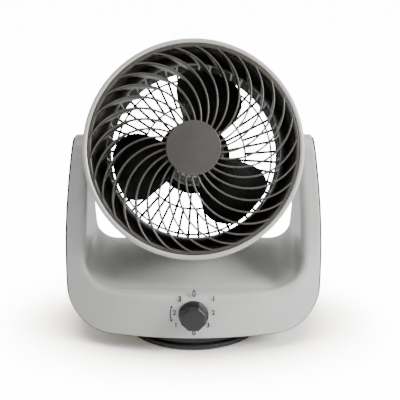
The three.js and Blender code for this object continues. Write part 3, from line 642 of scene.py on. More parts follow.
def inner_front(u):
    """Where the face meets the lining: depth and outline depend on each other."""
    y = TAPER_START
    for _ in range(6):
        x, z = inner_at(u, y)
        y = front_at(x, z) + REVEAL
    return x, y, z


def front_section(u, side):
    """One section across the front shell, from the seam over the face to the back lip."""
    out_x, out_z = outer_at(u, EDGE_REVEAL)
    in_x, in_y, in_z = inner_front(u)
    face_y = front_at(out_x, out_z) + REVEAL
    points = [(out_x, face_y + SEAM_DEPTH - SEAM_LAP - REVEAL, out_z)]
    radii = [0]
    crease = mix(TOP_CREASE, CREASE_SOFT, smooth(u / 0.7))
    for i in range(FACE_STEPS + 1):
        t = i / FACE_STEPS
        x = mix(out_x, in_x, t)
        z = mix(out_z, in_z, t)
        points.append((x, front_at(x, z) + REVEAL, z))
        radii.append(EDGE_SOFT if i == 0 else crease if i == FACE_STEPS else 0)
    lip_z = inner_at(u, LIP_DEPTH)[1]
    lip_y = arm_back(lip_z) - REVEAL
    for i in range(1, LINING_STEPS + 1):
        y = mix(in_y, lip_y, i / LINING_STEPS)
        x, z = inner_at(u, y)
        points.append((x, y, z))
        radii.append(LIP_SOFT if i == LINING_STEPS else 0)
    away = Vector((out_x - x, 0, out_z - z))
    away = away.normalized() * min(LIP_TUCK, away.length / 3)
    points.append((x + away.x, lip_y + SEAM_LAP, z + away.z))
    radii.append(0)
    return on_side(round_line(points, radii, (1, FACE_STEPS, LINING_STEPS, 1)), side)


def on_side(line, side):
    """A line of the right side, or its mirror image where side is -1."""
    return [Vector((side * p.x, p.y, p.z)) for p in line]


def round_line(points, radii, counts, steps=6):
    """Rounds the marked corners of a fine line, each by its own reach along both legs. The
    stretches between them get the given numbers of steps."""
    points = [Vector(p) for p in points]
    lengths = [0.0]
    for a, b in zip(points, points[1:]):
        lengths.append(lengths[-1] + (b - a).length)
    last = len(points) - 1
    marked = [0] + [i for i, r in enumerate(radii) if r > 0] + [last]

    def at(distance):
        i = 1
        while i < last and distance > lengths[i]:
            i += 1
        run = lengths[i] - lengths[i - 1]
        t = 0 if run < 1e-9 else (distance - lengths[i - 1]) / run
        return points[i - 1].lerp(points[i], min(1, max(0, t)))

    line = [points[0]]
    place = 0.0
    for before, here, after, count in zip(marked, marked[1:], marked[2:], counts):
        start = lengths[here] - min(radii[here], 0.46 * (lengths[here] - lengths[before]))
        end = lengths[here] + min(radii[here], 0.46 * (lengths[after] - lengths[here]))
        line += [at(mix(place, start, k / count)) for k in range(1, count + 1)]
        a, b = at(start), at(end)
        line += [curve(a, points[here], b, step / steps) for step in range(1, steps + 1)]
        place = end
    line += [at(mix(place, lengths[-1], k / counts[-1])) for k in range(1, counts[-1] + 1)]
    return line


PIN_ROOM = 5.6


def round_top(x, radius, turn):
    """A point at the round top of an arm; turn is 0 in front and half a circle at the back."""
    return Vector((x, -radius * math.cos(turn), PIVOT + radius * math.sin(turn)))


def top_rest(line, start, end, turn, steps, inset=None):
    """Adds points on the side of an arm's round top, between two radii."""
    for i in range(1, steps + 1):
        radius = mix(start, end, i / steps)
        spot = round_top(0, radius, turn)
        spot.x = well_half(spot.y) if inset is None else half_width(spot.z) - inset
        line.append(spot)


def front_top(turn):
    """A section of the front shell at the round top, from the seam to the hole of the pin."""
    radius = ARM_TOP - REVEAL
    edge = round_top(0, radius, turn)
    out_x = half_width(edge.z) - EDGE_REVEAL
    in_x = well_half(edge.y)
    points = [round_top(out_x, radius - SEAM_DEPTH + REVEAL + SEAM_LAP, turn)]
    for i in range(FACE_STEPS + 1):
        points.append(round_top(mix(out_x, in_x, i / FACE_STEPS), radius, turn))
    top_rest(points, radius, PIN_ROOM, turn, LINING_STEPS)
    radii = [0, EDGE_SOFT] + [0] * (FACE_STEPS - 1) + [TOP_CREASE] + [0] * LINING_STEPS
    return round_line(points, radii, (1, FACE_STEPS, LINING_STEPS))


def front_top_back(turn):
    """A section of the front shell's lining behind the round top."""
    radius = ARM_TOP - REVEAL
    in_x = well_half(round_top(0, radius, turn).y)
    points = [round_top(in_x + LIP_TUCK, radius - 4, turn), round_top(in_x, radius - 0.2, turn)]
    top_rest(points, radius, PIN_ROOM, turn, LINING_STEPS)
    return round_line(points, [0, LIP_SOFT] + [0] * LINING_STEPS, (1, LINING_STEPS))


def add_tops(shape, *skins):
    """Adds skins to both arms' round tops; each is a function for a section, and its angles."""
    for side in (-1, 1):
        for section_at, turns in skins:
            shape.loft([on_side(section_at(turn), side) for turn in turns], ring_closed=False)


KNOB_HEIGHT = 46
SHAFT_HOLE = 7
PIVOT_HOLE = 7
LINING_OUT = 114.5

sections = [front_section(u, side) for u, side in around]


def in_hole(i, j):
    """Faces left out where the switch shaft and the tilt pins pass through."""
    p = (sections[i][j] + sections[i + 1][j + 1]) / 2
    through_panel = p.y < 0 and math.hypot(p.x, p.z - KNOB_HEIGHT) < SHAFT_HOLE
    through_arm = abs(p.x) < LINING_OUT and math.hypot(p.y, p.z - PIVOT) < PIVOT_HOLE
    return through_panel or through_arm


def thicken(piece, wall):
    """Gives a skin its wall, on the inside."""
    solid = piece.modifiers.new("wall", "SOLIDIFY")
    solid.thickness = wall * MM
    solid.offset = -1
    apply_modifiers(piece)


front_shape = Shape().loft(sections, ring_closed=False, skip=in_hole)
turns = [mix(0, TOP_SPAN, i / 20) for i in range(21)]
back_turns = [mix(TOP_SPAN, math.pi, i / 12) for i in range(13)]
add_tops(front_shape, (front_top, turns), (front_top_back, back_turns))
front_shell = make(
    "stand_front", front_shape, "stand", silver_abs, "pearl_plastic", "stand_front_shell", sharp=40
)


def face_outwards(piece):
    """Turns each skin's faces to look away from the inside of the stand, or of an arm's top."""
    skin = bmesh.new()
    skin.from_mesh(piece.data)
    seen = set()
    for first in list(skin.faces):
        if first in seen:
            continue
        seen.add(first)
        island = [first]
        for face in island:  # the list grows as its neighbours are found
            for edge in face.edges:
                for other in edge.link_faces:
                    if other not in seen:
                        seen.add(other)
                        island.append(other)
        spots = [face.calc_center_median() for face in island]
        inside = Vector((0, 0, 40)) * MM
        if min(spot.z for spot in spots) > (PIVOT - 5) * MM:
            inside = Vector((math.copysign(120, spots[0].x), 0, PIVOT)) * MM
        votes = sum((p - inside).dot(f.normal) * f.calc_area() for p, f in zip(spots, island))
        if votes < 0:
            bmesh.ops.reverse_faces(skin, faces=island)
    skin.to_mesh(piece.data)
    skin.free()


face_outwards(front_shell)
thicken(front_shell, SHELL_WALL)

# ---------- Stand, rear shell ----------
# Charcoal ABS: the sides, the back and the backs of the arms. It stands 1.2 mm outside the front
# shell, which shows as a thin dark line all round. Bosses inside it take the screws of the cover.

REAR_WALL = 2.2
BACK_SOFT = 7
SEAM_SOFT = 0.9
SEAM_FOLD = 1.6  # the wall turns in by this much along the seam
LIP_GROW = 3.0
REAR_LIP_SOFT = 2.0
RIM_LOW = 16.6
FLOOR_TOP = 18.7
FLOOR_BACK = 66
TOP_TUCK = 1.3
OVERRUN = math.radians(7)
TOP_SINK = 0.03
SIDE_STEPS = 14
BACK_STEPS = 22


def ease(t):
    """An even run that slows a little at both ends."""
    return t * t * (3 - 2 * t) * 0.35 + t * 0.65


def rear_section(u, side):
    """One section across the rear shell, from the seam along the side and over the back."""
    out_x, out_z = outer_at(u, 0)
    out_z = max(out_z, RIM_LOW)
    seam_y = front_at(out_x, out_z) + SEAM_DEPTH
    back_y = back_at(out_x, out_z)
    seam_y = min(seam_y, back_y - 0.5)
    inward = Vector((0, 0, 60)) - Vector((out_x, 0, out_z))
    inward = inward.normalized() * SEAM_FOLD
    points = [(out_x + inward.x, seam_y, out_z + inward.z), (out_x, seam_y, out_z)]
    radii = [0, SEAM_SOFT]
    for i in range(1, SIDE_STEPS + 1):
        points.append((out_x, mix(seam_y, back_y, i / SIDE_STEPS), out_z))
        radii.append(BACK_SOFT if i == SIDE_STEPS else 0)
    lip_x, lip_z = inner_at(u, LIP_DEPTH, LIP_GROW)
    for i in range(1, BACK_STEPS + 1):
        x = mix(out_x, lip_x, ease(i / BACK_STEPS))
        z = mix(out_z, lip_z, ease(i / BACK_STEPS))
        points.append((x, back_at(x, z), z))
        radii.append(REAR_LIP_SOFT if i == BACK_STEPS else 0)
    points.append((lip_x, points[-1][1] - 3, lip_z))
    radii.append(0)
    return on_side(round_line(points, radii, (1, SIDE_STEPS, BACK_STEPS, 1)), side)


def rear_top(turn):
    """A section of the rear shell's side at the round top, from the seam to the pin's axis."""
    radius = ARM_TOP - SEAM_DEPTH
    out_x = half_width(round_top(0, radius, turn).z) - TOP_SINK
    points = [round_top(out_x - SEAM_FOLD, radius, turn), round_top(out_x, radius, turn)]
    top_rest(points, radius, 0, turn, SIDE_STEPS, inset=TOP_SINK)
    return round_line(points, [0, SEAM_SOFT] + [0] * SIDE_STEPS, (1, SIDE_STEPS))


def rear_top_back(turn):
    """A section of the rear shell behind the round top, from the pin's axis over the back."""
    radius = ARM_TOP - TOP_TUCK * (1 - smooth((turn - TOP_SPAN) / math.radians(42)))
    points = [round_top(half_width(PIVOT) - 2 * TOP_SINK, 0, turn)]
    top_rest(points, 0, radius, turn, SIDE_STEPS, inset=2 * TOP_SINK)
    out_x = points[-1].x
    lip_x = well_half(LIP_DEPTH) + LIP_GROW
    for i in range(1, BACK_STEPS + 1):
        points.append(round_top(mix(out_x, lip_x, ease(i / BACK_STEPS)), radius, turn))
    points.append(round_top(lip_x, radius - 3, turn))
    radii = [0] * SIDE_STEPS + [BACK_SOFT] + [0] * (BACK_STEPS - 1) + [REAR_LIP_SOFT, 0]
    return round_line(points, radii, (SIDE_STEPS, BACK_STEPS, 1))[::-1]


sections = [rear_section(u, side) for u, side in around]


def under_cover(i, j):
    """The cover closes the underside, so the shell has no floor."""
    a = sections[i][j]
    b = sections[i + 1][j + 1]
    return max(a.z, b.z) < FLOOR_TOP and max(a.y, b.y) < FLOOR_BACK


rear_shape = Shape().loft(sections, ring_closed=False, skip=under_cover)
# The tops run a little past their ends and lie a hair lower, so that the ends hardly show.
turns = [mix(-OVERRUN, TOP_SPAN, i / 20) for i in range(21)]
back_turns = [mix(TOP_SPAN - OVERRUN, math.pi + OVERRUN, i / 14) for i in range(15)]
add_tops(rear_shape, (rear_top, turns), (rear_top_back, back_turns))
rear_shell = make(
    "stand_rear", rear_shape, "stand", charcoal_abs, "charcoal_plastic", "stand_rear_shell", sharp=40
)
face_outwards(rear_shell)
thicken(rear_shell, REAR_WALL)

# ---------- Base cover, its screws and the cord gland ----------
# Flat charcoal ABS plate under the stand, with holes for the post, the drive shaft and the screws.
# The gland is a black rubber grommet in the back wall.

carry(charcoal_abs, 0.4, "base_cover")
carry(zinc_steel, SMALL_EDGE, *[f"cover_screw_{i}" for i in range(1, 5)])

GLAND_X = 62.1
GLAND_Z = 36
gland_shape = Shape()
gland_profile = rounded_profile(
    [(3.2, 72.6), (5, 72.6), (5, 76.4), (5, 79.8), (4.4, 81), (3.2, 81)], [0.3, 0.3, 0, 0.5, 0.8, 0.4]
)
revolve(
    gland_shape,
    gland_profile,
    lambda r, y, a: Vector((GLAND_X + r * math.cos(a), y, GLAND_Z + r * math.sin(a))),
    48,
)
make("cord_grommet", gland_shape, "stand", pad_rubber, "rubber", "cord_gland")

# ---------- Dial marks ----------
# Pad-printed marks on the panel round the knob: 0 to 3 on the right for a still head, and again
# on the left for a swinging one, with a double-headed arc for the swing.

MARK_PROUD = 0.25
MARK_SINK = 0.25
DIGIT_HEIGHT = 5.2
DIGIT_BOLD = 0.045  # share of the height that thickens each stroke

# Ink: dull and a little uneven, where the pad has left pin holes.
mark_ink, tree, output = new_material("Dark grey ink, pad printed")
place = node(tree, "ShaderNodeTexCoord")
pin_holes = node(tree, "ShaderNodeTexNoise", Vector=place.outputs["Object"], Scale=1 / (0.3 * MM))
dark, grey = linear("#232426"), linear("#2e2f31")
tone = node(tree, "ShaderNodeMix", {"data_type": "RGBA"}, i0=pin_holes.outputs["Fac"], i6=dark, i7=grey)
shader = node(tree, "ShaderNodeBsdfPrincipled", Base_Color=tone.outputs[2], Roughness=0.55)
tree.links.new(shader.outputs[0], output.inputs["Surface"])


def on_panel(x, z, lift):
    """A point just above the panel."""
    return Vector((x, front_at(x, z) + REVEAL - lift, z))


def print_on_panel(name, flat_faces, flat_points):
    """Lays flat printed areas on the panel and gives them a hair of thickness."""
    shape = Shape()
    count = len(flat_points)
    shape.points = [on_panel(x, z, MARK_PROUD) for x, z in flat_points]
    shape.points += [on_panel(x, z, -MARK_SINK) for x, z in flat_points]
    edges = {}
    for face in flat_faces:
        shape.faces.append(tuple(face))
        shape.faces.append(tuple(count + i for i in reversed(face)))
        for a, b in zip(face, face[1:] + face[:1]):
            if (b, a) in edges:
                edges.pop((b, a))
            else:
                edges[(a, b)] = True
    for a, b in edges:
        shape.faces.append((b, a, count + a, count + b))
    return make(name, shape, "stand", mark_ink, "charcoal_plastic", sharp=60)


MARKS = (
    # digit, across from the knob's centre, up from it
    ("0", 0.5, 21.4),
    ("1", 21.4, 16.9),
    ("2", 21.0, 1.6),
    ("3", 15.6, -12.7),
    ("0", 0.4, -21.6),
    ("1", -18.6, -12.5),
    ("2", -20.2, 1.6),
    ("3", -14.4, 16.5),
)
for i, (digit, across, up) in enumerate(MARKS):
    letter = bpy.data.curves.new("digit", "FONT")
    letter.body = digit
    letter.size = DIGIT_HEIGHT / 0.7
    letter.align_x = "CENTER"
    letter.align_y = "CENTER"
    letter.resolution_u = 6
    letter.offset = DIGIT_BOLD * DIGIT_HEIGHT
    holder = bpy.data.objects.new("digit", letter)
    bpy.context.scene.collection.objects.link(holder)
    bpy.context.view_layer.update()
    flat = bpy.data.meshes.new_from_object(holder)
    work = bmesh.new()
    work.from_mesh(flat)
    bmesh.ops.remove_doubles(work, verts=work.verts, dist=1e-4)
    work.to_mesh(flat)
    work.free()
    flat_points = [(v.co.x + across, v.co.y + KNOB_HEIGHT + up) for v in flat.vertices]
    flat_faces = [list(f.vertices) for f in flat.polygons]
    print_on_panel(f"mark_{i}_digit_{digit}", flat_faces, flat_points)
    bpy.data.objects.remove(holder)

SWING_RADIUS = 24.6
SWING_FROM = 163
SWING_TO = 195
SWING_LINE = 0.6
HEAD_LONG = 7
HEAD_HALF = 1.7
ring_points = []
ring_faces = []
for step in range(17):
    turn = math.radians(mix(SWING_FROM, SWING_TO, step / 16))
    for r in (SWING_RADIUS - SWING_LINE, SWING_RADIUS + SWING_LINE):
        ring_points.append((r * math.cos(turn), KNOB_HEIGHT + r * math.sin(turn)))
    if step:
        b = 2 * step
        ring_faces.append([b - 2, b - 1, b + 1, b])
for end, way in ((SWING_FROM, -1), (SWING_TO, 1)):
    first = len(ring_points)
    for r, turn in (
        (SWING_RADIUS - HEAD_HALF, end),
        (SWING_RADIUS + HEAD_HALF, end),
        (SWING_RADIUS, end + way * HEAD_LONG),
    ):
        turn = math.radians(turn)
        ring_points.append((r * math.cos(turn), KNOB_HEIGHT + r * math.sin(turn)))
    ring_faces.append([first, first + 1, first + 2] if way > 0 else [first, first + 2, first + 1])
print_on_panel("mark_swing_arrow", ring_faces, ring_points)

# ---------- Control knob and switch ----------
# Black ABS knob, an eight-sided grip on a round skirt, pressed on the D-shaft of a rotary
# switch. The switch hangs behind the panel and turns the drive motor on with the fan.

SKIRT_RADIUS = 16
SKIRT_BACK = -82.5
SKIRT_FRONT = -85.5
GRIP_FACE = -97
GRIP_FLATS = 26.8

# Knob ABS: darker than the shells, with a finer satin grain.
knob_abs = moulded_plastic("Dark ABS, fine satin grain", "#090908", "#0f0e0d", 0.42, 0.3, 0.25)


def knob_ring(radius_of, y):
    """A ring round the knob's axis; radius_of gives the radius at each angle."""
    ring = []
    for i in range(192):
        turn = 2 * math.pi * i / 192
        r = radius_of(turn)
        ring.append(Vector((r * math.cos(turn), y, KNOB_HEIGHT + r * math.sin(turn))))
    return ring


def octagon(flats, corner):
    """Radius of an eight-sided grip with rounded corners."""

    def radius(turn):
        step = math.pi / 4
        off = (turn + step / 2) % step - step / 2
        flat = flats / 2 / math.cos(off)
        round_off = flats / 2 + corner
        return flat if flat < round_off else round_off - 0.25 * (flat - round_off)

    return radius


knob_shape = Shape()
knob_rings = []
for r, y in (
    (SKIRT_RADIUS - 2.2, SKIRT_BACK),
    (SKIRT_RADIUS - 0.5, SKIRT_BACK),
    (SKIRT_RADIUS, SKIRT_BACK - 0.5),
    (SKIRT_RADIUS, SKIRT_FRONT + 1.3),
    (SKIRT_RADIUS - 0.35, SKIRT_FRONT + 0.5),
    (SKIRT_RADIUS - 1.2, SKIRT_FRONT + 0.05),
):
    knob_rings.append(knob_ring(lambda turn, r=r: r, y))
for inset, y in (
    (-0.55, SKIRT_FRONT),
    (-0.15, SKIRT_FRONT - 0.35),
    (0, SKIRT_FRONT - 1),
    (0.15, GRIP_FACE + 3.2),
    (0.3, GRIP_FACE + 1.8),
    (0.75, GRIP_FACE + 0.8),
    (1.5, GRIP_FACE + 0.2),
    (2.6, GRIP_FACE),
    (9, GRIP_FACE + 0.1),
    (13, GRIP_FACE + 0.12),
):
    grip = octagon(GRIP_FLATS - 2 * inset, 0.95)
    knob_rings.append(knob_ring(lambda turn, grip=grip: max(0.2, min(grip(turn), 15.2)), y))
knob_shape.loft(knob_rings, capped=True)
make("knob", knob_shape, "knob", knob_abs, "black_plastic", "control_knob", sharp=50)
carry(zinc_steel, SMALL_EDGE, "switch_shaft")
# Nylon: duller than the knob, as on most switch bodies.
switch_nylon = moulded_plastic("Black nylon, moulded", "#151515", "#1e1e1e", 0.5, 0.4, 0.2)
carry(switch_nylon, SMALL_EDGE, "rotary_switch")

# ---------- Tilt pivots ----------
# Steel pins through acetal bushes in the arms carry the head. A steel washer on each pin is
# clamped by the arm and holds the head where it is tilted.

carry(acetal, SMALL_EDGE, "tilt_bush_left", "tilt_bush_right")
carry(zinc_steel, SMALL_EDGE, "tilt_pin_left", "tilt_pin_right")
carry(zinc_steel, SMALL_EDGE, "friction_washer_left", "friction_washer_right")

# ---------- Head housing and bezel ----------
# The housing is a silver ABS drum with a flange at the back for the guard and a boss on each side
# for the tilt pins. The bezel is a rounded ring of the same ABS, snapped on its front edge.

REST_TILT = math.radians(20)
HEAD_PLACE = Matrix.Translation((0, 0, PIVOT)) @ Matrix.Rotation(-REST_TILT, 4, "X")
BOSS_RADIUS = 13
BOSS_FACE = 111.6
BOSS_ROOT = 103.5


def in_head(radius, ahead, angle):
    """A point in the head: radius from the fan's axis, distance ahead, clockwise from the top."""
    return HEAD_PLACE @ Vector((radius * math.sin(angle), -ahead, radius * math.cos(angle)))


def head_ring(name, profile, radius, body, material, slot, *stands_for, segments=160, sharp=40):
    """A turned piece of the head."""
    shape = revolve(Shape(), rounded_profile(profile, radius), in_head, segments)
    return make(name, shape, body, material, slot, *stands_for, sharp=sharp)


housing_shape = Shape()
housing_profile = rounded_profile(
    [
        (113, 36.7),
        (111.2, 30),
        (109.5, 22),
        (106, -37),
        (101, -45),
        (92.3, -45),
        (92.3, -42.6),
        (101.6, -40.6),
        (107.1, 22),
        (110.6, 36.7),
    ],
    [0.5, 5, 9, 6, 3, 0.4, 0.8, 3, 4, 0.4],
    5,
)
revolve(housing_shape, housing_profile, in_head, 160)
for side in (-1, 1):
    boss_rings = []
    for r, x in (
        (BOSS_RADIUS - 1.5, BOSS_ROOT),
        (BOSS_RADIUS + 2.2, 106.5),
        (BOSS_RADIUS + 0.6, 107.6),
        (BOSS_RADIUS, 108.8),
        (BOSS_RADIUS, 110.6),
        (BOSS_RADIUS - 0.3, 111.3),
        (BOSS_RADIUS - 1.0, BOSS_FACE),
        (5.4, BOSS_FACE),
        (5.4, BOSS_ROOT),
    ):
        around_pin = [upright(r, 0, 2 * math.pi * k / 48) for k in range(48)]
        boss_rings.append([HEAD_PLACE @ Vector((side * x, p.x, p.y)) for p in around_pin])
    housing_shape.loft(boss_rings, loop=True)
make("head_drum", housing_shape, "head", silver_abs, "pearl_plastic", "head_housing", sharp=40)

head_ring(
    "bezel_ring",
    [
        (111, 49.2),
        (112.2, 50),
        (114.2, 50),
        (115.8, 48.2),
        (116, 45.5),
        (115.4, 41),
        (113.2, 37),
        (109, 37),
        (109, 39),
        (111, 39),
    ],
    [0.5, 0.8, 1.6, 1.6, 2.5, 3, 0.8, 0.4, 0.4, 0.3],
    "head",
    silver_abs,
    "pearl_plastic",
    "front_bezel",
)

# ---------- Air duct ----------
# Dark ABS funnel behind the grille that leads the air from the throat round the blades. Its rim
# is trapped between the grille and the bezel.

THROAT = 93  # radius
THROAT_BACK = 12.0
FLARE_FROM = 16
FLARE_DEEP = 22.7
FLARE_WIDE = 13.2

# Duct ABS: the polished mould leaves it smoother than the shells, so it shows a soft sheen.
duct_abs = moulded_plastic("Charcoal ABS, polished mould", "#1a1918", "#21201e", 0.4, 0.5, 0.15)


def flare_depth(t):
    """How far ahead the funnel's inside lies, from its throat at 0 to its rim at 1."""
    return FLARE_FROM + FLARE_DEEP * (1 - (1 - t) ** 1.5)


flare = [(THROAT + FLARE_WIDE * (i / 10) ** 1.6, flare_depth(i / 10)) for i in range(11)]
duct_profile = [(THROAT, THROAT_BACK)] + flare
duct_profile += [(108.7, 38.7), (108.7, 37), (97.4, 20), (95, 15), (95, THROAT_BACK)]
duct_radii = [0.4] + [0] * len(flare) + [0.3, 0.5, 2, 2, 0.4]
head_ring("duct_funnel", duct_profile, duct_radii, "head", duct_abs, "charcoal_plastic", "air_duct")

# ---------- Front grille ----------
# Taupe ABS in one moulding: a rim, a hub, and thirty swirling ribs that follow a shallow dome. The
# ribs are shallow over the blades and run deep beside the funnel, where they turn the air.

RIM_RADIUS = 110.7
RIM_INSIDE = 106.3
RIM_FRONT = 49
RIM_BACK = 39.3
DOME_RISE = 12
GRILLE_HUB = 27.9
HUB_FRONT = 59.6
RIBS = 30
RIB_HALF = 1.0
RIB_SHALLOW = 8
RIB_BACK = 24.5  # how far ahead the deep part ends
ARC_RADIUS = 57.9
ARC_OFFSET = 59.05
ARC_PHASE = math.radians(-9.9)

# Grille ABS: a warm dark grey, smooth enough for one soft highlight along each rib.
grille_abs = moulded_plastic("Taupe ABS, satin moulding", "#3e3b36", "#48443d", 0.36, 0.4, 0.2)


def dome_at(r):
    """Front of the grille at a radius."""
    return RIM_FRONT + DOME_RISE * (1 - (r / RIM_RADIUS) ** 2)


def rib_back(r):
    """Back edge of a rib: shallow over the blades, deep near the funnel."""
    shallow = dome_at(r) - RIB_SHALLOW
    deep = RIB_BACK
    if r > THROAT:
        t = min(1, ((r - THROAT) / FLARE_WIDE) ** (1 / 1.6))
        deep = max(RIB_BACK, flare_depth(t) + 0.6)
    return mix(shallow, deep, smooth((r - 68) / 20))


def arc_angle(r):
    """Angle along a rib's arc at which it reaches a radius."""
    cosine = (r * r - ARC_OFFSET**2 - ARC_RADIUS**2) / (2 * ARC_OFFSET * ARC_RADIUS)
    return math.acos(min(1, max(-1, cosine)))


grille_shape = Shape()
revolve(
    grille_shape,
    rounded_profile(
        [
            (RIM_INSIDE, RIM_BACK),
            (RIM_RADIUS, RIM_BACK),
            (RIM_RADIUS, RIM_FRONT - 0.8),
            (RIM_RADIUS - 0.9, RIM_FRONT),
            (RIM_INSIDE + 1.2, RIM_FRONT),
            (RIM_INSIDE, RIM_FRONT - 1.4),
        ],
        [0.4, 0.4, 0.8, 0.8, 1.2, 1.2],
    ),
    in_head,
    180,
)
revolve(
    grille_shape,
    rounded_profile(
        [(3, dome_at(0) - 7), (GRILLE_HUB, 51.7), (GRILLE_HUB, HUB_FRONT), (3, HUB_FRONT)],
        [0, 0.8, 0.3, 0],
    ),
    in_head,
    120,
)
RIB_STEPS = 26
NOSE_STEPS = 6
angle_from = arc_angle(GRILLE_HUB - 1.5)
angle_to = arc_angle(RIM_INSIDE + 1.5)
for k in range(RIBS):
    lean = ARC_PHASE + 2 * math.pi * k / RIBS
    centre = Vector((math.sin(lean), 0, math.cos(lean))) * ARC_OFFSET
    rings = []
    for i in range(RIB_STEPS + 1):
        turn = lean + mix(angle_from, angle_to, i / RIB_STEPS)
        outward = Vector((math.sin(turn), 0, math.cos(turn)))
        spot = centre + outward * ARC_RADIUS
        r = math.hypot(spot.x, spot.z)
        ring = []
        for n in range(NOSE_STEPS + 1):
            bend = math.pi * n / NOSE_STEPS
            point = spot + outward * (RIB_HALF * math.cos(bend))
            point.y = -(dome_at(r) - RIB_HALF + RIB_HALF * math.sin(bend))
            ring.append(HEAD_PLACE @ point)
        for off in (-0.7, 0.7):
            point = spot + outward * (RIB_HALF * off)
            point.y = -rib_back(r)
            ring.append(HEAD_PLACE @ point)
        rings.append(ring)
    grille_shape.loft(rings, capped=True)
make("swirl_grille", grille_shape, "head", grille_abs, "charcoal_plastic", "front_grille", sharp=45)

# ---------- Centre cap ----------
# Dark grey ABS disc with a fine satin face and a thin raised edge. It is moulded by itself and
# clipped on the grille's hub.

CAP_RADIUS = 28.5
CAP_BACK = 60.1
CAP_REACH = 64

# Cap ABS: its grain is very fine, so that the face looks even and only the edge catches light.
cap_abs = moulded_plastic("Dark grey ABS, satin", "#3d3b39", "#474543", 0.38, 0.3, 0.15)
head_ring(
    "cap_disc",
    [
        (0.3, CAP_BACK),
        (CAP_RADIUS, CAP_BACK),
        (CAP_RADIUS, CAP_REACH - 1.7),
        (CAP_RADIUS - 0.7, CAP_REACH - 0.8),
        (CAP_RADIUS - 1.8, CAP_REACH - 0.9),
        (CAP_RADIUS * 0.62, CAP_REACH - 0.25),
        (CAP_RADIUS * 0.3, CAP_REACH - 0.05),
        (0.3, CAP_REACH),
    ],
    [0, 0.3, 0.6, 0.5, 1.0, 4, 4, 0],
    "head",
    cap_abs,
    "cap_plastic",
    "centre_cap",
    sharp=60,
)

# ---------- Impeller and its nut ----------
# Three broad swept blades on a hub, moulded in glossy black polypropylene. The hub slides on the
# shaft and a domed plastic nut holds it.

IMPELLER_RADIUS = 88.5
HUB_RADIUS = 27
HUB_BACK = -27
SLEEVE_BACK = -15
SHAFT_FIT = 4.3
BLADES = 3
BLADE_THICK = 2.2
BLADE_HALF = 19
BLADE_ROWS = 26
BLADE_COLUMNS = 18

# Blade polypropylene: nearly black and glossy, with clear highlights on the curved blades.
blade_pp = moulded_plastic("Black polypropylene, glossy moulding", "#161616", "#1f1f1f", 0.3, 0.5, 0.08)
impeller_shape = Shape()
revolve(
    impeller_shape,
    rounded_profile(
        [
            (SHAFT_FIT, 30),
            (HUB_RADIUS - 6, 30),
            (HUB_RADIUS - 1.5, 27.5),
            (HUB_RADIUS, 22),
            (HUB_RADIUS, HUB_BACK),
            (HUB_RADIUS - 3, HUB_BACK),
            (HUB_RADIUS - 3, 21),
            (9, 23),
            (9, SLEEVE_BACK),
            (SHAFT_FIT, SLEEVE_BACK),
        ],
        [0.4, 3, 3, 3, 0.6, 0.6, 2, 1, 0.5, 0.4],
    ),
    in_head,
    120,
)
for k in range(BLADES):
    rings = []
    for i in range(BLADE_ROWS + 1):
        s = i / BLADE_ROWS
        r = HUB_RADIUS - 2 + (IMPELLER_RADIUS - HUB_RADIUS + 2) * s
        lead = 33 + 4 * math.sin(math.pi * s) - 14 * s**6
        trail = 36 - 8 * s - 12 * s**6
        faces = ([], [])
        for j in range(BLADE_COLUMNS + 1):
            u = 2 * j / BLADE_COLUMNS - 1
            sweep = -5 * s + (u * trail if u < 0 else u * lead)
            turn = math.radians(17 + 360 / BLADES * k + sweep)
            d = -u * BLADE_HALF * (1 - 0.35 * s) + 3 * (1 - u * u) * s
            thick = BLADE_THICK / 2 * (1 - 0.35 * s) * math.sqrt(max(0.05, 1 - u**6))
            faces[0].append(in_head(r, d + thick, turn))
            faces[1].append(in_head(r, d - thick, turn))
        rings.append(faces[0] + faces[1][::-1])
    impeller_shape.loft(rings, capped=True)
make("impeller_blades", impeller_shape, "rotor", blade_pp, "black_plastic", "impeller", sharp=45)

head_ring(
    "blade_nut",
    [(SHAFT_FIT, 30.3), (11, 30.3), (10.2, 38), (7, 41.3), (0.3, 42.3), (0.3, 39.3), (SHAFT_FIT, 39.3)],
    [0.2, 0.6, 2, 2, 0, 0, 0.3],
    "rotor",
    blade_pp,
    "black_plastic",
    "impeller_nut",
    segments=48,
)

# ---------- Motor ----------
# Shaded-pole motor behind the impeller: two pressed and zinc-plated caps with sintered bronze
# bearings, a stack of steel sheets, two coils of enamelled copper wire, a rotor and its shaft.


def banded_metal(name, dark, light, pitch, roughness):
    """A metal of fine turns or sheets that lie across the fan's axis; pitch in mm."""
    material, tree, output = new_material(name)
    place = node(tree, "ShaderNodeTexCoord")
    upright_axis = node(
        tree, "ShaderNodeMapping", Vector=place.outputs["Object"], Rotation=(REST_TILT, 0.0, 0.0)
    )
    bands = node(
        tree,
        "ShaderNodeTexWave",
        {"bands_direction": "Y"},
        Vector=upright_axis.outputs[0],
        Scale=0.314 / (pitch * MM),
        Distortion=0.6,
    )
    band = bands.outputs["Fac"]
    colour = node(tree, "ShaderNodeMix", {"data_type": "RGBA"}, i0=band, i6=linear(dark), i7=linear(light))
    bump = node(tree, "ShaderNodeBump", Height=band, Strength=0.5, Distance=pitch * MM)
    shader = node(
        tree,
        "ShaderNodeBsdfPrincipled",
        Base_Color=colour.outputs[2],
        Metallic=1.0,
        Roughness=roughness,
        Normal=bump.outputs[0],
    )
    tree.links.new(shader.outputs[0], output.inputs["Surface"])
    return material


# Sheets 0.5 mm thick and wire 0.4 mm thick are drawn at 1 mm, as finer bands would blur away.
stacked_steel = banded_metal("Laminated steel, stacked sheets", "#55585c", "#80858a", 1.0, 0.5)
copper_wire = banded_metal("Enamelled copper wire, wound", "#8a4a22", "#c0764a", 1.0, 0.35)
